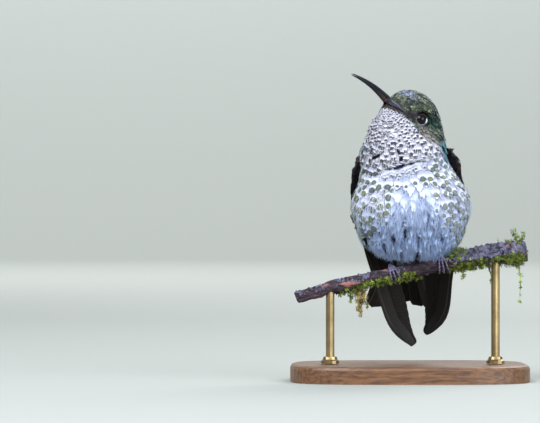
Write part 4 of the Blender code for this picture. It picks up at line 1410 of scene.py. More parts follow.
def build_tail(thick, finish, outer_finish):
    """Ten tail feathers, two for each plate."""
    for name in TAIL_NODES:
        points = node_points(name)
        middle = points.mean(0)
        _, _, axes = np.linalg.svd(points - middle, full_matrices=False)
        along = axes[0] * np.sign(-axes[0][2])
        across = axes[1] * np.sign(axes[1][0])
        plate = Plate((name,), along, across, 24, 5)
        facing = -np.sign(plate.out[1])
        quills = []
        for k, place in enumerate((0.34, 0.66)):
            inner = k == (1 if "right" in name else 0)
            half = 0.36 * plate.width.max()
            lead, trail = (half * 0.85, half * 1.0) if k == 0 else (half * 1.0, half * 0.85)
            layer = facing * (0.09 if inner != ("middle" in name) else -0.09)
            end = (1.03 if inner else 1.0) + 0.015 * (name == "tail_right_outer")
            quills.append(quill(plate, 0.0, end, place, lead, trail, layer, 0.11))
        look = outer_finish if "outer" in name else finish
        quill_piece(name.replace("tail_", "tail_feathers_"), quills, thick, look, "tail_feathers", name)


def arm_finish(dark):
    """The wing's arm between its coverts: dull, dark and finely mottled."""
    make = Finish("wing arm", specular=0.15, roughness=0.8)
    grain = make.noise(2.0)
    make.base(grain, dark, dark * 6.0)
    return make.done(None, grain)


def quill_finish(name, dark, pale, edge, blue):
    """A pale shaft, slanting barbs, a thin worn edge and a blue-black tip."""
    make = Finish(name, specular=0.2)
    u, v, _ = make.parts(make.node("ShaderNodeUVMap", {"uv_map": "vane"}))
    off = abs((u - 0.5) * 2)
    cloud, streaks = make.noise(0.35), make.noise(1.0, 2.0, place=make.stretched(3.0, 3.0, 0.6))
    slant = (v * 210.0 - off * 26.0).sine()
    make.base((cloud - 0.2) * 0.9, dark, pale)
    make.lay(v.step(0.55, 1.0) * 0.7, blue)
    make.lay((slant + 1) * 0.10, (0.0, 0.0, 0.0))
    make.lay(streaks.step(0.5, 0.8) * 0.25, pale)
    shaft = off.step(0.10, 0.04) * v.step(1.0, 0.7)
    make.lay(shaft * 0.8, edge * 0.8)
    make.lay(off.step(0.86, 0.99) * 0.6, edge)
    return make.done(0.42 + cloud * 0.2 + (slant + 1) * 0.05, slant * 0.35 + off * -0.3, 0.06)


# ---- bill, eyes and feet


def faced_out(mesh):
    """A closed mesh with all its faces turned outwards."""
    shape = bmesh.new()
    shape.from_mesh(mesh)
    bmesh.ops.recalc_face_normals(shape, faces=shape.faces)
    shape.to_mesh(mesh)
    shape.free()
    mesh.shade_smooth()
    return mesh


def ring_mesh(name, rings):
    """A closed mesh through rings of points, with a fan over each end."""
    rings = np.asarray(rings, float)
    count, around = rings.shape[:2]
    points = np.concatenate([rings.reshape(-1, 3), rings[0].mean(0)[None], rings[-1].mean(0)[None]])
    grid = round_grid(count, around)
    first = [(count * around, b, a) for a, b in zip(grid[0], grid[0, 1:])]
    last = [(count * around + 1, a, b) for a, b in zip(grid[-1], grid[-1, 1:])]
    mesh = bpy.data.meshes.new(name)
    mesh.from_pydata((points * MM).tolist(), [], grid_faces(grid).tolist() + first + last)
    return faced_out(mesh)


def bill_half(name, node, lid, stations=56):
    """An arched shell with an even edge, through slices of the CAD's half of the bill."""
    points, faces, _ = mesh_arrays(NODES[node].data)
    reach = (points - HEAD_MIDDLE) @ FORWARD
    low, high = reach.min(), reach.max()
    rings = []
    for t in np.linspace(0, 1, stations) ** 0.9:
        f = low + 0.04 + (high - low - 0.08) * t
        cut = cut_points(points, faces, HEAD_MIDDLE + FORWARD * f, FORWARD) - HEAD_MIDDLE
        side, rise = cut @ LEFT, cut @ UP
        rings.append((f, (side.min() + side.max()) / 2, np.ptp(side) / 2, rise.min(), rise.max()))
    turns = np.linspace(0, math.pi, 21)
    made = []
    for f, middle, half, bottom, top in relaxed(np.array(rings), 3):
        t = (f - low) / (high - low)
        flat, crown = (bottom, top) if lid else (top, bottom)
        arch = np.abs(np.sin(turns)) ** (0.92 if lid else 0.8)
        nostril = 0.17 * half * hill(t, 0.12, 0.09) * lid
        from_ridge = np.abs(turns - math.pi / 2)
        side = np.cos(turns) * half * (1 + nostril * hill(from_ridge, 0.85, 0.28))
        rise = flat + arch * (crown - flat) * (1 - 0.35 * nostril * hill(from_ridge, 0.0, 0.3))
        side = side * (1 - 0.10 * half * hill(from_ridge, 1.15, 0.12) * (1 - t))
        back = np.cos(turns[::-1])[3:-3:3] * half * 0.96
        side, rise = np.append(side, back), np.append(rise, np.full(len(back), flat + (crown - flat) * 0.06))
        made.append(HEAD_MIDDLE + FORWARD * f + np.outer(middle + side, LEFT) + np.outer(rise, UP))
    mesh = ring_mesh(name, made)
    set_values(mesh, along=((mesh_arrays(mesh)[0] - HEAD_MIDDLE) @ FORWARD - low) / (high - low))
    return mesh


def bill_finish(name, horn, upper):
    """Blue-black glossy horn, with a painted blue sheen towards the tip and a painted violet sheen on the
    flap above, or a brown-pink base below.
    """
    make = Finish(name, specular=0.22)
    along, grain, fine = make.number("along"), make.noise(1.6, 4.0), make.noise(9.0)
    make.base(grain, horn.dark, horn.pale)
    if upper:
        # a painted violet sheen along the flap's upper part
        make.lay(make.number("violet") * 0.7, horn.flap)
        # a painted blue sheen over the upper half towards its tip
        make.lay(along.step(0.35, 0.9) * 0.3, BILL_PAINTED_SHEEN)
    else:
        make.lay(along.step(0.42, 0.0) * 0.8, horn.base * 0.3)
        make.lay(along.step(0.12, 0.0) * 0.6, horn.base)
    return make.done(0.36 + grain * 0.16 + fine * 0.06, fine * 0.5 + grain, 0.05, 0.35)


def build_flap(side, finish):
    """The bare horny flap that carries the bill's base back along one side of the face."""
    carriers = (bpy.data.objects["skin"], NODES["bill_upper"], NODES["bill_lower"])
    tree = finder(*merged(thing.data for thing in carriers))
    outward = OUTWARD[side]
    rows, columns = 22, 9
    along = np.linspace(12.9, 7.45, rows)
    middle, half = gape_flap(along)
    across = np.linspace(-1, 1, columns)
    points = np.empty((1, rows, columns, 3))
    out = np.empty_like(points)
    for i in range(rows):
        for j in range(columns):
            start = HEAD_MIDDLE + FORWARD * along[i] + UP * (middle[i] + half[i] * across[j]) + outward * 14
            spot, normal, _, _ = tree.ray_cast(Vector(start), Vector(-outward))
            if spot is None:
                spot, normal, _, _ = tree.find_nearest(Vector(start - outward * 12.6))
            points[0, i, j], out[0, i, j] = spot, normal
    relaxed(points[0], 4)
    out = unit(out + outward)
    crown = (1 - across**2)[None, None, :, None]
    stretch = np.linspace(0, 1, rows)
    points = points + out * (0.10 + 0.28 * crown) * smooth(0, 0.3, stretch)[None, :, None, None]
    vane = np.stack(np.broadcast_arrays(across[None, None, :], stretch[None, :, None]), -1)
    mesh, vane = closed_vanes(f"bill_flap_{side}", points, out, [0.32], across, stretch, vane)
    rise, back = vane[..., 0].ravel(), vane[..., 1].ravel()
    # violet: where the flap carries its painted violet sheen
    violet = hill(rise, 0.35, 0.2) * smooth(0.1, 0.35, back) * smooth(1.0, 0.8, back)
    set_values(mesh, along=-0.25 * back, violet=violet)
    as_piece(mesh, finish, "bill_upper")


def build_bill(upper_finish, lower_finish):
    """The two halves of the bill and the flaps at its base."""
    as_piece(bill_half("bill_over", "bill_upper", True), upper_finish, "bill_upper", "bill_upper")
    for side in SIDES:
        build_flap(side, upper_finish)
    as_piece(bill_half("bill_under", "bill_lower", False), lower_finish, "bill_lower", "bill_lower")


REAR_CORNER = 2.78  # where the eye's rear corner is round its opening, from straight ahead upwards


def build_eye(side, finish, lid_finish):
    """An eyeball, and the ring of bare lid round its opening."""
    outward, ahead, up = EYE_WAYS[side]
    middle = EYES[side] - 0.25 * outward
    turns = full_turn(48)
    around = np.outer(np.cos(turns), ahead) + np.outer(np.sin(turns), up)
    tilts = np.linspace(0.03, math.pi - 0.03, 33)[:, None, None]
    swell = EYE_RADIUS + 0.10 * hill(tilts, 0, 0.55)
    mesh = ring_mesh(f"eyeball_{side}", middle + (outward * np.cos(tilts) + around * np.sin(tilts)) * swell)
    place = mesh_arrays(mesh)[0] - middle
    off = np.hypot(place @ ahead, place @ up) / EYE_RADIUS
    set_values(mesh, off=np.where(place @ outward > 0, off, 1.0))
    as_piece(mesh, finish, "eye", f"eye_{side}")

    low, rear = np.maximum(-np.sin(turns), 0), np.maximum(np.cos(turns - REAR_CORNER), 0) ** 6
    tube = 0.13 + 0.05 * low + 0.09 * rear
    opening = EYE_OPENING + 0.02 + 0.05 * np.abs(np.cos(turns))
    rise = np.sqrt(np.maximum(EYE_RADIUS**2 - opening**2, 0.1)) + 0.06
    core = middle + around * (opening + tube * 0.5)[:, None] + outward * rise[:, None]
    k = full_turn(10)[:, None]
    crinkle = 1 + 0.10 * np.sin(9 * turns[:, None, None] + 2 * k)
    tube = tube[:, None, None] * crinkle * (np.cos(k) * 1.25 * around[:, None] + np.sin(k) * outward)
    faces = grid_faces(round_grid(len(turns), len(k), True))
    mesh = faced_out(make_mesh(f"eyelid_{side}", (core[:, None] + tube).reshape(-1, 3), faces))
    place = mesh_arrays(mesh)[0] - middle
    corner = math.cos(REAR_CORNER) * ahead + math.sin(REAR_CORNER) * up
    white = smooth(0.84, 0.98, unit(flattened(place, outward)) @ corner)
    set_values(mesh, below=np.clip(0.5 - (place @ up) / 3.6, 0, 1), white=white)
    as_piece(mesh, lid_finish, "eye")


def eye_finish(look):
    """Black pupil, deep brown iris."""
    make = Finish("eye", specular=0.2, roughness=0.02)
    off, fibres = make.number("off"), make.noise(4.0)
    iris = make.mix(fibres, look.iris * 0.4, look.iris)
    make.base(off.step(0.40, 0.46), look.pupil, iris)
    make.lay(off.step(0.62, 0.72), look.iris * 0.5)
    return make.done(None, fibres, 0.01, 0.1)


def lid_finish(look):
    """Bare skin: violet-grey below, black above, white behind."""
    make = Finish("eyelid", specular=0.3)
    below, grain = make.number("below"), make.noise(7.0)
    make.base(below.step(0.42, 0.75), look.lid_dark, look.lid_pale)
    make.lay(grain.step(0.4, 0.7) * 0.35, (0.02, 0.02, 0.03))
    make.lay(make.number("white"), look.crescent)
    return make.done(0.55 + grain * 0.2, grain, 0.08, 0.6)


def build_foot(side, slim, finish):
    """A foot round the twig, softened into one skin."""
    thing = remeshed(joined_nodes(f"toes_{side}", (f"foot_{side}",), 0.07), 0.15, 3)
    x, y, z = (shrunk(thing, slim) - PERCH).T
    set_values(thing.data, turn=np.arctan2(z - TWIG_SLOPE * x, -y))
    as_piece(thing, finish, "toe_skin", f"foot_{side}")


def toe_finish(foot):
    """Scaled toes, purple-grey with paler plates."""
    make = Finish("toe skin", specular=0.4)
    grain = make.noise(3.0)
    plates = (make.number("turn") * 17.0 + grain * 1.5).sine()
    make.base(grain, foot.dark, foot.pale)
    make.lay(plates.step(-0.2, 0.9) * 0.3, foot.plates)
    make.lay(plates.step(-0.7, -1.0) * 0.4, foot.dark * 0.3)
    return make.done(0.45 + grain * 0.2, plates * 0.5 + grain * 0.3, 0.12, 0.8)


def claw_finish(foot):
    """Dark horn, paler at the point."""
    make = Finish("claw", specular=0.5, coat_weight=0.3, coat_roughness=0.3)
    grain = make.noise(3.0)
    make.base(grain, foot.claw * 0.25, foot.claw)
    return make.done(0.32 + grain * 0.2, grain, 0.05, 0.4)


# ---- twig and stand


def build_twig(finish):
    """Bark wrapped round the CAD's twig, with ridges, scars and swellings."""
    points, faces, _ = mesh_arrays(NODES["perch_branch"].data)
    tree = finder(points, faces)
    low, high = points[:, 0].min(), points[:, 0].max()
    turns = full_turn(72)
    places = low + 0.05 + (high - low - 0.1) * np.linspace(0, 1, 250)
    cuts = [cut_points(points, faces, np.array([x, 0, 0]), np.array([1.0, 0, 0])) for x in places]
    axis = relaxed(np.array([box_middle(cut) for cut in cuts]), 30)
    radii = np.empty((len(places), len(turns)))
    for i, middle in enumerate(axis):
        for j, turn in enumerate(turns):
            way = Vector((0, math.cos(turn), math.sin(turn)))
            hit = tree.ray_cast(Vector(middle) + way * 12, -way)[0]
            radii[i, j] = norm(np.array(hit) - middle) if hit else np.nan
    radii = np.where(np.isnan(radii), np.nanmean(radii), radii)
    for _ in range(4):
        relaxed(radii, 1)
        radii += 0.25 * (np.roll(radii, 1, 1) - 2 * radii + np.roll(radii, -1, 1))
    cushion = np.empty_like(radii)
    for i, x in enumerate(places):
        for j, turn in enumerate(turns):
            y, z = math.cos(turn) * 2.4, math.sin(turn) * 2.4
            ridge = noise.fractal(Vector((x * 0.22, y * 0.9, z * 0.9)), 1.0, 2.0, 4)
            crust = noise.fractal(Vector((x * 0.9 + 40, y * 0.9, z * 0.9)), 0.9, 2.1, 3)
            radii[i, j] += 0.28 * ridge + 0.12 * crust
            away = noise.voronoi(Vector((x, y, z)) * 0.62)[0][0]
            cushion[i, j] = math.sqrt(max(1 - (1.25 * away) ** 2, 0.0))
    right = (smooth(11.5, 17, places) * (1 - 0.5 * smooth(36, 41, places)))[:, None]
    above = smooth(-0.5, 0.7, np.sin(turns))[None, :]
    bed = right * (0.35 + 1.0 * above) + 0.18 * above * (1 - right)
    radii = radii + bed * (0.45 + 0.75 * cushion)
    rings = axis[:, None] + np.stack([0 * radii, np.cos(turns) * radii, np.sin(turns) * radii], -1)
    mesh = ring_mesh("twig", rings)
    top, moss = growth_shares(mesh_arrays(mesh)[0])
    set_values(mesh, hollow=np.append((bed * (1 - cushion)).ravel(), [0, 0]), top=top, moss=moss)
    as_piece(mesh, finish, "bark", "perch_branch")


def growth_shares(points):
    """How thickly lichen grows on top of the twig, and moss below it and in patches."""
    x, _, z = (points - PERCH).T
    up = z - TWIG_SLOPE * x + 0.0011 * x * x
    lump = np.array([noise.noise(Vector(p * 0.22)) for p in points])
    fine = np.array([noise.noise(Vector(p * 0.7 + 30)) for p in points])
    right = smooth(12, 18, x)
    top = smooth(-0.6 - 1.6 * right, 1.0, up) * (0.5 + 0.5 * right) + 0.5 * lump
    top = np.clip(top, 0, 1) * smooth(-0.45, 0.1, fine + 0.35 * right)
    below = bump(x, -16, 15) + bump(x, -2, 9) + bump(x, 21, 12) + 0.8 * bump(x, 35, 8)
    below = np.clip(1.3 * below, 0, 1) * smooth(0.2, -1.3, up)
    risen = smooth(0.0, 1.5, up)
    above = bump(x, 16.5, 5.5) * risen + 0.8 * bump(x, 35, 7) * risen
    return top, np.clip((below + above) * (0.8 + 1.1 * lump + 0.5 * fine), 0, 1)


def bark_finish(twig):
    """Dark purple-brown bark under a grey-lilac crust, with bare reddish scars and painted shade in the
    hollows between the moss cushions.
    """
    make = Finish("bark", specular=0.25)
    top, moss, hollow = make.number("top"), make.number("moss"), make.number("hollow")
    long = make.stretched(0.25, 1.0, 1.0)
    grain = make.noise(1.1, 5.0, 0.6, long)
    fine = make.noise(3.4, 4.0, 0.65)
    spots = make.node("ShaderNodeTexVoronoi", {"feature": "F1"}, {"Vector": make.place, "Scale": 1.1})
    make.base(grain.step(0.3, 0.7), twig.dark, twig.pale)
    scar = make.noise(0.33, 2.0, place=make.vector("ADD", long, (9.0, 0.0, 0.0)))
    make.lay(scar.step(0.60, 0.70) * 0.8, twig.scar)
    crust = (top + (fine - 0.5) * 0.9 + (0.35 - spots) * 0.4).step(0.42, 0.72)
    lichen = make.mix(fine.step(0.3, 0.7), twig.lichen * 0.5, twig.lichen * 1.6)
    make.lay(crust * 0.85, lichen)
    # painted shade: darker in the hollows between the moss cushions
    make.lay((hollow + (fine - 0.5) * 0.5).step(0.25, 0.6) * 0.85, twig.dark * 0.5)
    make.lay((moss + (fine - 0.5) * 0.5).step(0.35, 0.7) * 0.8, twig.moss * 0.28)
    make.lay(fine.step(0.50, 0.32) * 0.8, twig.dark * 0.3)
    return make.done(0.75 + fine * 0.2, grain * 0.6 + fine * 0.7 + crust * 0.3, 0.45, 0.9)


GROWTH_INPUTS = dict(
    Ground="Geometry", Sprig="Object", Where="String", Crowd="Float", Least="Float", Most="Float",
    Tilt="Float", Seed="Int", Finish="Material",
)


def growth_tree():
    """Scatters a small shape over a surface where an attribute says, turned and sized at random."""
    tree = bpy.data.node_groups.new("growth", "GeometryNodeTree")
    grow, entry, end = Graph(tree), tree.nodes.new("NodeGroupInput"), tree.nodes.new("NodeGroupOutput")
    keys = {}
    for name, kind in GROWTH_INPUTS.items():
        socket = tree.interface.new_socket(name, in_out="INPUT", socket_type="NodeSocket" + kind)
        keys[name] = socket.identifier
    tree.interface.new_socket("Geometry", in_out="OUTPUT", socket_type="NodeSocketGeometry")
    ground, sprig, where, crowd, least, most, tilt, seed, finish = (
        Wire(grow, entry.outputs[name]) for name in GROWTH_INPUTS
    )
    share = grow.node("GeometryNodeInputNamedAttribute", {"data_type": "FLOAT"}, {"Name": where})
    values = {"Mesh": ground, "Density": share * share * crowd, "Seed": seed}
    spots = grow.node("GeometryNodeDistributePointsOnFaces", {"distribute_method": "RANDOM"}, values)
    shape = grow.node("GeometryNodeObjectInfo", None, {"Object": sprig})["Geometry"]
    ends = {"Min": (-1.0, -1.0, -3.14), "Max": (1.0, 1.0, 3.14), "Seed": seed}
    spin = grow.node("FunctionNodeRandomValue", {"data_type": "FLOAT_VECTOR"}, ends)
    lean = grow.vector("MULTIPLY", spin, grow.node("ShaderNodeCombineXYZ", None, {0: tilt, 1: tilt, 2: 1.0}))
    ends = {"Min": least, "Max": most, "Seed": seed}
    scale = grow.node("FunctionNodeRandomValue", {"data_type": "FLOAT"}, ends)["Value"]
    values = {"Points": spots["Points"], "Instance": shape, "Rotation": spots["Rotation"], "Scale": scale}
    placed = grow.node("GeometryNodeInstanceOnPoints", None, values)
    turned = grow.node("GeometryNodeRotateInstances", None, {"Instances": placed, "Rotation": lean})
    real = grow.node("GeometryNodeRealizeInstances", None, {"Geometry": turned})
    done = grow.node("GeometryNodeSetMaterial", None, {"Geometry": real, "Material": finish})
    tree.links.new(done.socket, end.inputs[0])
    return tree, keys


def grown(name, growth, ground, slot, *inputs):
    """A piece of what the tree grows over a copy of the ground, with its inputs after Ground."""
    tree, keys = growth
    mesh = ground.copy()
    mesh.name = name
    thing = new_object(mesh)
    modifier = thing.modifiers.new("growth", "NODES")
    modifier.node_group = tree
    for key, value in zip(list(keys.values())[1:], inputs, strict=True):
        modifier[key] = value
    as_piece(baked(thing), inputs[-1], slot)


# Strands of moss that hang from the twig: how far left of the bird's middle, where each starts and ends
# above the perch, its lean, half width and moss cover, in millimetres, and its moss.
STRANDS = (
    (-18.4, -7.0, -16.0, 1.2, 0.75, 0.8, "dry"),
    (-16.4, -7.0, -12.8, 1.0, 0.60, 0.8, "dry"),
    (-20.6, -7.5, -11.6, -0.4, 0.45, 0.9, "moss"),
    (18.2, 1.5, -3.0, 0.4, 0.35, 0.9, "moss"),
    (27.6, 2.0, -4.6, 1.0, 0.40, 0.5, "moss"),
    (38.2, 3.0, -11.4, 0.8, 0.22, 0.7, "bright"),
    (37.4, 10.5, 14.6, -1.2, 0.25, 1.0, "bright"),
    (39.0, 10.0, 13.6, 0.8, 0.20, 1.0, "bright"),
)


# One leaf's corners: how far out from the stem, to its side, up with the curl and straight up.
LEAF = np.array([
    (0, -0.1, 0, 0), (0, 0.1, 0, 0), (0.55, 0.26, 0.5, 0), (0.5, 0, 0.5, -0.1),
    (0.55, -0.26, 0.5, 0), (1.15, 0, 1, 0), (0.05, 0, 0, 0.16),
])
LEAF_FACES = np.array([(0, 1, 2), (0, 2, 4), (2, 5, 4), (1, 6, 2), (6, 5, 2), (6, 4, 5), (6, 0, 4)])


def sprig_object(name, leaves, height, broad, curl):
    """One moss shoot: small keeled leaves up a stem."""
    up = np.array([0, 0, 1.0])
    points = []
    rng = np.random.default_rng(len(name))
    for k in range(leaves):
        t = (k + 0.5) / leaves
        turn = k * 2.4
        out = np.array([math.cos(turn), math.sin(turn), 0])
        side = np.array([-math.sin(turn), math.cos(turn), 0])
        base = up * height * t * 0.8 + 0.06 * rng.standard_normal(3)
        leaf = broad * (1.1 - 0.5 * t) * (0.8 + 0.4 * rng.random()) * LEAF
        points.append(base + leaf @ np.array([out, side, up * curl, up]))
    mesh = bpy.data.meshes.new(name)
    faces = [face for k in range(leaves) for face in (LEAF_FACES + len(LEAF) * k).tolist()]
    mesh.from_pydata((np.concatenate(points) * MM).tolist(), [], faces)
    return bpy.data.objects.new(name, mesh)


def flake_object(name, seed):
    """One flake of lichen crust: a low wrinkled cushion."""
    shape = bmesh.new()
    bmesh.ops.create_icosphere(shape, subdivisions=1, radius=0.42 * MM)
    rng = np.random.default_rng(seed)
    for vert in shape.verts:
        vert.co *= 0.75 + 0.5 * rng.random()
        vert.co.z *= 0.55
    mesh = bpy.data.meshes.new(name)
    shape.to_mesh(mesh)
    shape.free()
    return bpy.data.objects.new(name, mesh)


def growth_finish(name, tint):
    """Moss or lichen, mottled from shoot to shoot, with pale tips."""
    dark, light, tips = tint * 0.25, tint, tint * 0.6 + Color((0.3, 0.3, 0.25))
    make = Finish(name, specular=0.2)
    patch, fine = make.noise(0.45, 2.0), make.noise(4.0)
    make.base(patch.step(0.35, 0.65), dark, light)
    make.lay(fine.step(0.55, 0.75) * 0.6, tips)
    make.lay(fine.step(0.45, 0.25) * 0.6, dark * 0.4)
    return make.done(0.8 + fine * 0.15, fine)


def build_growth(ground, settings):
    """Moss under the twig and in tufts, a lichen crust on top, and hanging strands."""
    kinds = ("moss", "bright", "dry", "lichen")
    looks = {kind: growth_finish(kind, getattr(settings, kind)) for kind in kinds}
    growth = growth_tree()
    short = sprig_object("moss_sprig", 8, 1.6, 0.75, 0.8)
    long = sprig_object("hanging_sprig_", 9, 2.6, 0.75, 0.5)
    flake = flake_object("lichen_flake", 5)
    grown("moss_short", growth, ground, "moss", short, "moss", 2.6e6, 0.55, 1.15, 0.6, 4, looks["moss"])
    grown("moss_long", growth, ground, "moss", long, "moss", 6.0e5, 0.55, 1.15, 0.9, 9, looks["bright"])
    grown("lichen_crust", growth, ground, "bark", flake, "top", 3.0e6, 0.5, 1.5, 0.5, 2, looks["lichen"])
    for k, (x, high, low, lean, half, share, kind) in enumerate(STRANDS):
        finish = looks[kind]
        steps = np.linspace(0, 1, 25)
        wave = 0.5 * np.sin(steps * 7 + k) * steps
        path = np.stack([x + lean * steps + wave, -0.6 - 0.8 * steps, high + (low - high) * steps], -1)
        turns = full_turn(8)
        thick = half * (1 - 0.75 * steps)
        flat = np.stack([np.cos(turns), np.sin(turns), 0 * turns], -1)
        mesh = ring_mesh(f"strand_{k}", (PERCH + path)[:, None] + thick[:, None, None] * flat)
        set_values(mesh, moss=np.full(len(mesh.vertices), share))
        as_piece(mesh, finish, "moss")
        inputs = (short, "moss", 4.0e6, 0.4, 0.95, 0.5, 20 + k, finish)
        grown(f"strand_moss_{k}", growth, mesh, "moss", *inputs)


def wood_finish(stand):
    """Oiled walnut with long grain."""
    make = Finish("walnut", specular=0.4, coat_weight=0.15, coat_roughness=0.35)
    long = make.stretched(0.035, 0.35, 0.35)
    warp = make.noise(1.0, 2.0, place=long, output="Color")
    rings = make.noise(3.0, 5.0, 0.6, make.vector("ADD", long, warp))
    pores = make.noise(1.5, place=make.stretched(0.25, 3.0, 3.0))
    make.base(rings.step(0.3, 0.7), stand.dark, stand.pale)
    make.lay(pores.step(0.55, 0.72) * 0.5, stand.dark * 0.35)
    return make.done(0.38 + pores * 0.2, pores * -0.5 + rings * 0.2, 0.12)


def brass_finish(stand):
    """Brushed brass, a little dulled."""
    make = Finish("brass", metallic=1.0)
    brushed, cloud = make.noise(1.0, 2.0, place=make.stretched(6.0, 6.0, 0.5)), make.noise(0.15)
    make.base(cloud.step(0.3, 0.8), stand.brass, stand.brass * 0.62)
    return make.done(0.26 + brushed * 0.12 + cloud * 0.12, brushed, 0.02, 0.3)


# ---- settings


def measure(name, description, millimetres):
    """A length that the user may change."""
    settings = dict(default=millimetres * MM, min=0.0, precision=5, unit="LENGTH")
    return bpy.props.FloatProperty(name=name, description=description, **settings)


def paint(name, description, code):
    """A colour that the user may change."""
    settings = dict(default=tuple(tone(code)), size=3, min=0.0, max=1.0, subtype="COLOR")
    return bpy.props.FloatVectorProperty(name=name, description=description, **settings)


def power(name, description, watts):
    """A lamp's power that the user may change."""
    return bpy.props.FloatProperty(name=name, description=description, default=watts, min=0.0, unit="POWER")


class StageSettings(bpy.types.PropertyGroup):
    """Camera, lamps and floor."""

    away: measure("Camera distance", "From the twig to the camera", 1200.0)
    width: measure("View width", "How much of the bird's plane the camera sees", VIEW_WIDTH)
    key: power("Key lamp", "Lamp at the upper left of the front", 35.0)
    fill: power("Fill lamp", "Lamp at the right of the front", 29.0)
    rim: power("Rim lamp", "Lamp behind the bird", 12.0)
    backdrop: power("Backdrop lamp", "Lamp that evens the backdrop", 60.0)
    floor: paint("Floor", "Colour of the floor", "A4A8A4")
    wall: paint("Backdrop", "Colour of the backdrop", "C2C7C4")


class CoatSettings(bpy.types.PropertyGroup):
    """Skin and feathers of head and body."""

    detail: measure("Skin detail", "Size of the skin's faces", 0.5)
    spacing: bpy.props.FloatProperty(
        name="Spacing", description="Space between feathers, 1 as in life", default=1.0, min=0.8, max=3.0
    )
    strands: bpy.props.IntProperty(name="Down", description="Number of strands of down", default=9000, min=0)


class WingSettings(bpy.types.PropertyGroup):
    """Wing quills."""

    thick: measure("Thickness", "Thickness of a wing quill", 0.14)
    dark: paint("Dark", "Darker parts of the vanes", "12100E")
    pale: paint("Pale", "Paler parts of the vanes", "2B251F")
    edge: paint("Edge", "Shafts and worn edges", "47423B")
    tip: paint("Tip", "Tips of the vanes", "121214")


class TailSettings(bpy.types.PropertyGroup):
    """Tail feathers."""

    thick: measure("Thickness", "Thickness of a tail feather", 0.16)
    dark: paint("Dark", "Darker parts of the middle feathers", "05080C")
    pale: paint("Pale", "Paler parts of the middle feathers", "0B1116")
    edge: paint("Edge", "Shafts and edges of the middle feathers", "22262A")
    tip: paint("Tip", "Tips of the middle feathers", "04060A")
    outer_dark: paint("Outer dark", "Darker parts of the outer feathers", "1C1A1A")
    outer_pale: paint("Outer pale", "Paler parts of the outer feathers", "353230")
    outer_edge: paint("Outer edge", "Shafts and edges of the outer feathers", "4A443C")
    outer_tip: paint("Outer tip", "Tips of the outer feathers", "221E1A")


class BillSettings(bpy.types.PropertyGroup):
    """The bill's horn."""

    dark: paint("Dark horn", "Horn of both halves", "090A0F")
    pale: paint("Pale horn", "Paler clouds in the horn", "141923")
    base: paint("Base", "Lower half near the chin", "6E4E48")
    flap: paint("Flap", "Sheen along the flap at the gape", "7E7AA0")


class EyeSettings(bpy.types.PropertyGroup):
    """Eyes and lids."""

    pupil: paint("Pupil", "Middle of the eye", "050507")
    iris: paint("Iris", "Fibres of the iris", "1A110D")
    lid_dark: paint("Upper lid", "Lid over the eye", "131116")
    lid_pale: paint("Lower lid", "Lid under the eye", "7C7A94")
    crescent: paint("Crescent", "White crescent behind the eye", "C6CED6")


class FootSettings(bpy.types.PropertyGroup):
    """Toes and claws."""

    slim: measure("Slimming", "How much slimmer the toes are than their solids", 0.11)
    dark: paint("Dark skin", "Darker skin of the toes", "3D3748")
    pale: paint("Pale skin", "Paler skin of the toes", "6B6384")
    plates: paint("Plates", "Raised scales on the toes", "8E86AC")
    claw: paint("Claw", "Horn of the claws", "3A3340")


class TwigSettings(bpy.types.PropertyGroup):
    """Bark, lichen and moss."""

    dark: paint("Dark bark", "Furrows in the bark", "1B151B")
    pale: paint("Pale bark", "Raised bark", "4B3D46")
    scar: paint("Scars", "Bare wood where bark is lost", "A8746A")
    lichen: paint("Lichen", "Crust on top of the twig", "6C6A84")
    moss: paint("Moss", "Short moss", "7C8A3A")
    bright: paint("Bright moss", "Longer moss", "90A840")
    dry: paint("Dry moss", "Hanging moss", "9C8A48")


class StandSettings(bpy.types.PropertyGroup):
    """Wood and brass of the stand."""

    dark: paint("Dark wood", "Dark grain", "4A3022")
    pale: paint("Pale wood", "Pale grain", "7B5537")
    brass: paint("Brass", "Colour of the posts", "A8926A")


# ---- operators


class BIRD_OT_stage(bpy.types.Operator):
    """Put up the camera, the lamps and the floor"""

    bl_idname = "bird.stage"
    bl_label = "Stage"

    def execute(self, context):
        build_stage(context.scene.bird_stage)
        return {"FINISHED"}


class BIRD_OT_skin(bpy.types.Operator):
    """Draw one skin round the solids of flesh"""

    bl_idname = "bird.skin"
    bl_label = "Skin"

    def execute(self, context):
        build_skin(skin_finish(), context.scene.bird_coat.detail)
        return {"FINISHED"}


class BIRD_OT_coat(bpy.types.Operator):
    """Lay the feathers of head and body"""

    bl_idname = "bird.coat"
    bl_label = "Coat"

    def execute(self, context):
        for region in COAT_PIECES:
            build_coat(region, context.scene.bird_coat.spacing, plumage_finish("plumage " + region))
        return {"FINISHED"}


class BIRD_OT_down(bpy.types.Operator):
    """Add the fine strands of down"""

    bl_idname = "bird.down"
    bl_label = "Down"

    def execute(self, context):
        build_down(context.scene.bird_coat, plumage_finish("plumage down"))
        return {"FINISHED"}


class BIRD_OT_wings(bpy.types.Operator):
    """Lay the quills and coverts of both wings"""

    bl_idname = "bird.wings"
    bl_label = "Wings"

    def execute(self, context):
        wing = context.scene.bird_wing
        quills = quill_finish("wing quills", wing.dark, wing.pale, wing.edge, wing.tip)
        arm = arm_finish(wing.dark)
        for side in SIDES:
            build_wing(side, wing.thick / MM, quills, arm, plumage_finish("wing coverts " + side))
        return {"FINISHED"}


class BIRD_OT_tail(bpy.types.Operator):
    """Lay the ten tail feathers"""

    bl_idname = "bird.tail"
    bl_label = "Tail"

    def execute(self, context):
        tail = context.scene.bird_tail
        middle = quill_finish("tail quills", tail.dark, tail.pale, tail.edge, tail.tip)
        outer = (tail.outer_dark, tail.outer_pale, tail.outer_edge, tail.outer_tip)
        build_tail(tail.thick / MM, middle, quill_finish("outer tail quills", *outer))
        return {"FINISHED"}


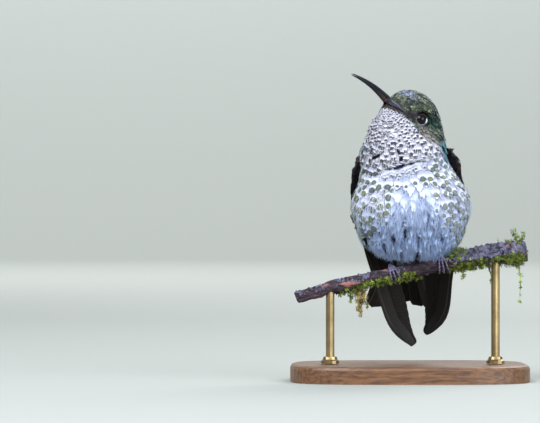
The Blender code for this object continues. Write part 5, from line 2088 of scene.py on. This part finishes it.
class BIRD_OT_bill(bpy.types.Operator):
    """Shape the two halves of the bill and its flaps"""

    bl_idname = "bird.bill"
    bl_label = "Bill"

    def execute(self, context):
        bill = context.scene.bird_bill
        build_bill(bill_finish("upper bill", bill, True), bill_finish("lower bill", bill, False))
        return {"FINISHED"}


class BIRD_OT_eyes(bpy.types.Operator):
    """Set both eyes in their lids"""

    bl_idname = "bird.eyes"
    bl_label = "Eyes"

    def execute(self, context):
        eyes = context.scene.bird_eyes
        eye, lid = eye_finish(eyes), lid_finish(eyes)
        for side in SIDES:
            build_eye(side, eye, lid)
        return {"FINISHED"}


class BIRD_OT_feet(bpy.types.Operator):
    """Soften the toes and finish the claws"""

    bl_idname = "bird.feet"
    bl_label = "Feet"

    def execute(self, context):
        feet = context.scene.bird_feet
        toes = toe_finish(feet)
        for side in SIDES:
            build_foot(side, feet.slim / MM, toes)
        dress_nodes("claw_", claw_finish(feet))
        return {"FINISHED"}


class BIRD_OT_twig(bpy.types.Operator):
    """Wrap the twig in bark"""

    bl_idname = "bird.twig"
    bl_label = "Twig"

    def execute(self, context):
        build_twig(bark_finish(context.scene.bird_twig))
        return {"FINISHED"}


class BIRD_OT_growth(bpy.types.Operator):
    """Grow moss and lichen on the twig"""

    bl_idname = "bird.growth"
    bl_label = "Moss and lichen"

    def execute(self, context):
        build_growth(bpy.data.meshes["twig"], context.scene.bird_twig)
        return {"FINISHED"}


class BIRD_OT_stand(bpy.types.Operator):
    """Finish the wooden base and the brass posts"""

    bl_idname = "bird.stand"
    bl_label = "Stand"

    def execute(self, context):
        stand = context.scene.bird_stand
        dress_nodes("stand_", brass_finish(stand))
        dress_nodes("stand_base", wood_finish(stand))
        return {"FINISHED"}


STEPS = {
    "bird_stage": (StageSettings, BIRD_OT_stage),
    "bird_coat": (CoatSettings, BIRD_OT_skin, BIRD_OT_coat, BIRD_OT_down),
    "bird_wing": (WingSettings, BIRD_OT_wings),
    "bird_tail": (TailSettings, BIRD_OT_tail),
    "bird_bill": (BillSettings, BIRD_OT_bill),
    "bird_eyes": (EyeSettings, BIRD_OT_eyes),
    "bird_feet": (FootSettings, BIRD_OT_feet),
    "bird_twig": (TwigSettings, BIRD_OT_twig, BIRD_OT_growth),
    "bird_stand": (StandSettings, BIRD_OT_stand),
}


class BIRD_PT_panel(bpy.types.Panel):
    """Every step of the build, with its settings above it"""

    bl_idname = "BIRD_PT_panel"
    bl_label = "Perched hummingbird"
    bl_space_type = "VIEW_3D"
    bl_region_type = "UI"
    bl_category = "Bird"

    def draw(self, context):
        for name, (settings, *steps) in STEPS.items():
            box = self.layout.box()
            for key in settings.__annotations__:
                box.prop(getattr(context.scene, name), key)
            for step in steps:
                box.operator(step.bl_idname)


CLASSES = [kind for kinds in STEPS.values() for kind in kinds] + [BIRD_PT_panel]


def register():
    for kind in CLASSES:
        bpy.utils.register_class(kind)
    for name, (settings, *_) in STEPS.items():
        setattr(bpy.types.Scene, name, bpy.props.PointerProperty(type=settings))


def unregister():
    for name in STEPS:
        delattr(bpy.types.Scene, name)
    for kind in reversed(CLASSES):
        bpy.utils.unregister_class(kind)


def main():
    """Builds the whole model in order."""
    register()
    bpy.ops.bird.stage()
    bpy.ops.bird.skin()
    bpy.ops.bird.coat()
    bpy.ops.bird.down()
    bpy.ops.bird.wings()
    bpy.ops.bird.tail()
    bpy.ops.bird.bill()
    bpy.ops.bird.eyes()
    bpy.ops.bird.feet()
    bpy.ops.bird.twig()
    bpy.ops.bird.growth()
    bpy.ops.bird.stand()
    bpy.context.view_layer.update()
    list(CAD_BOX[0])
    list(CAD_BOX[1])


if __name__ == "__main__":
    main()
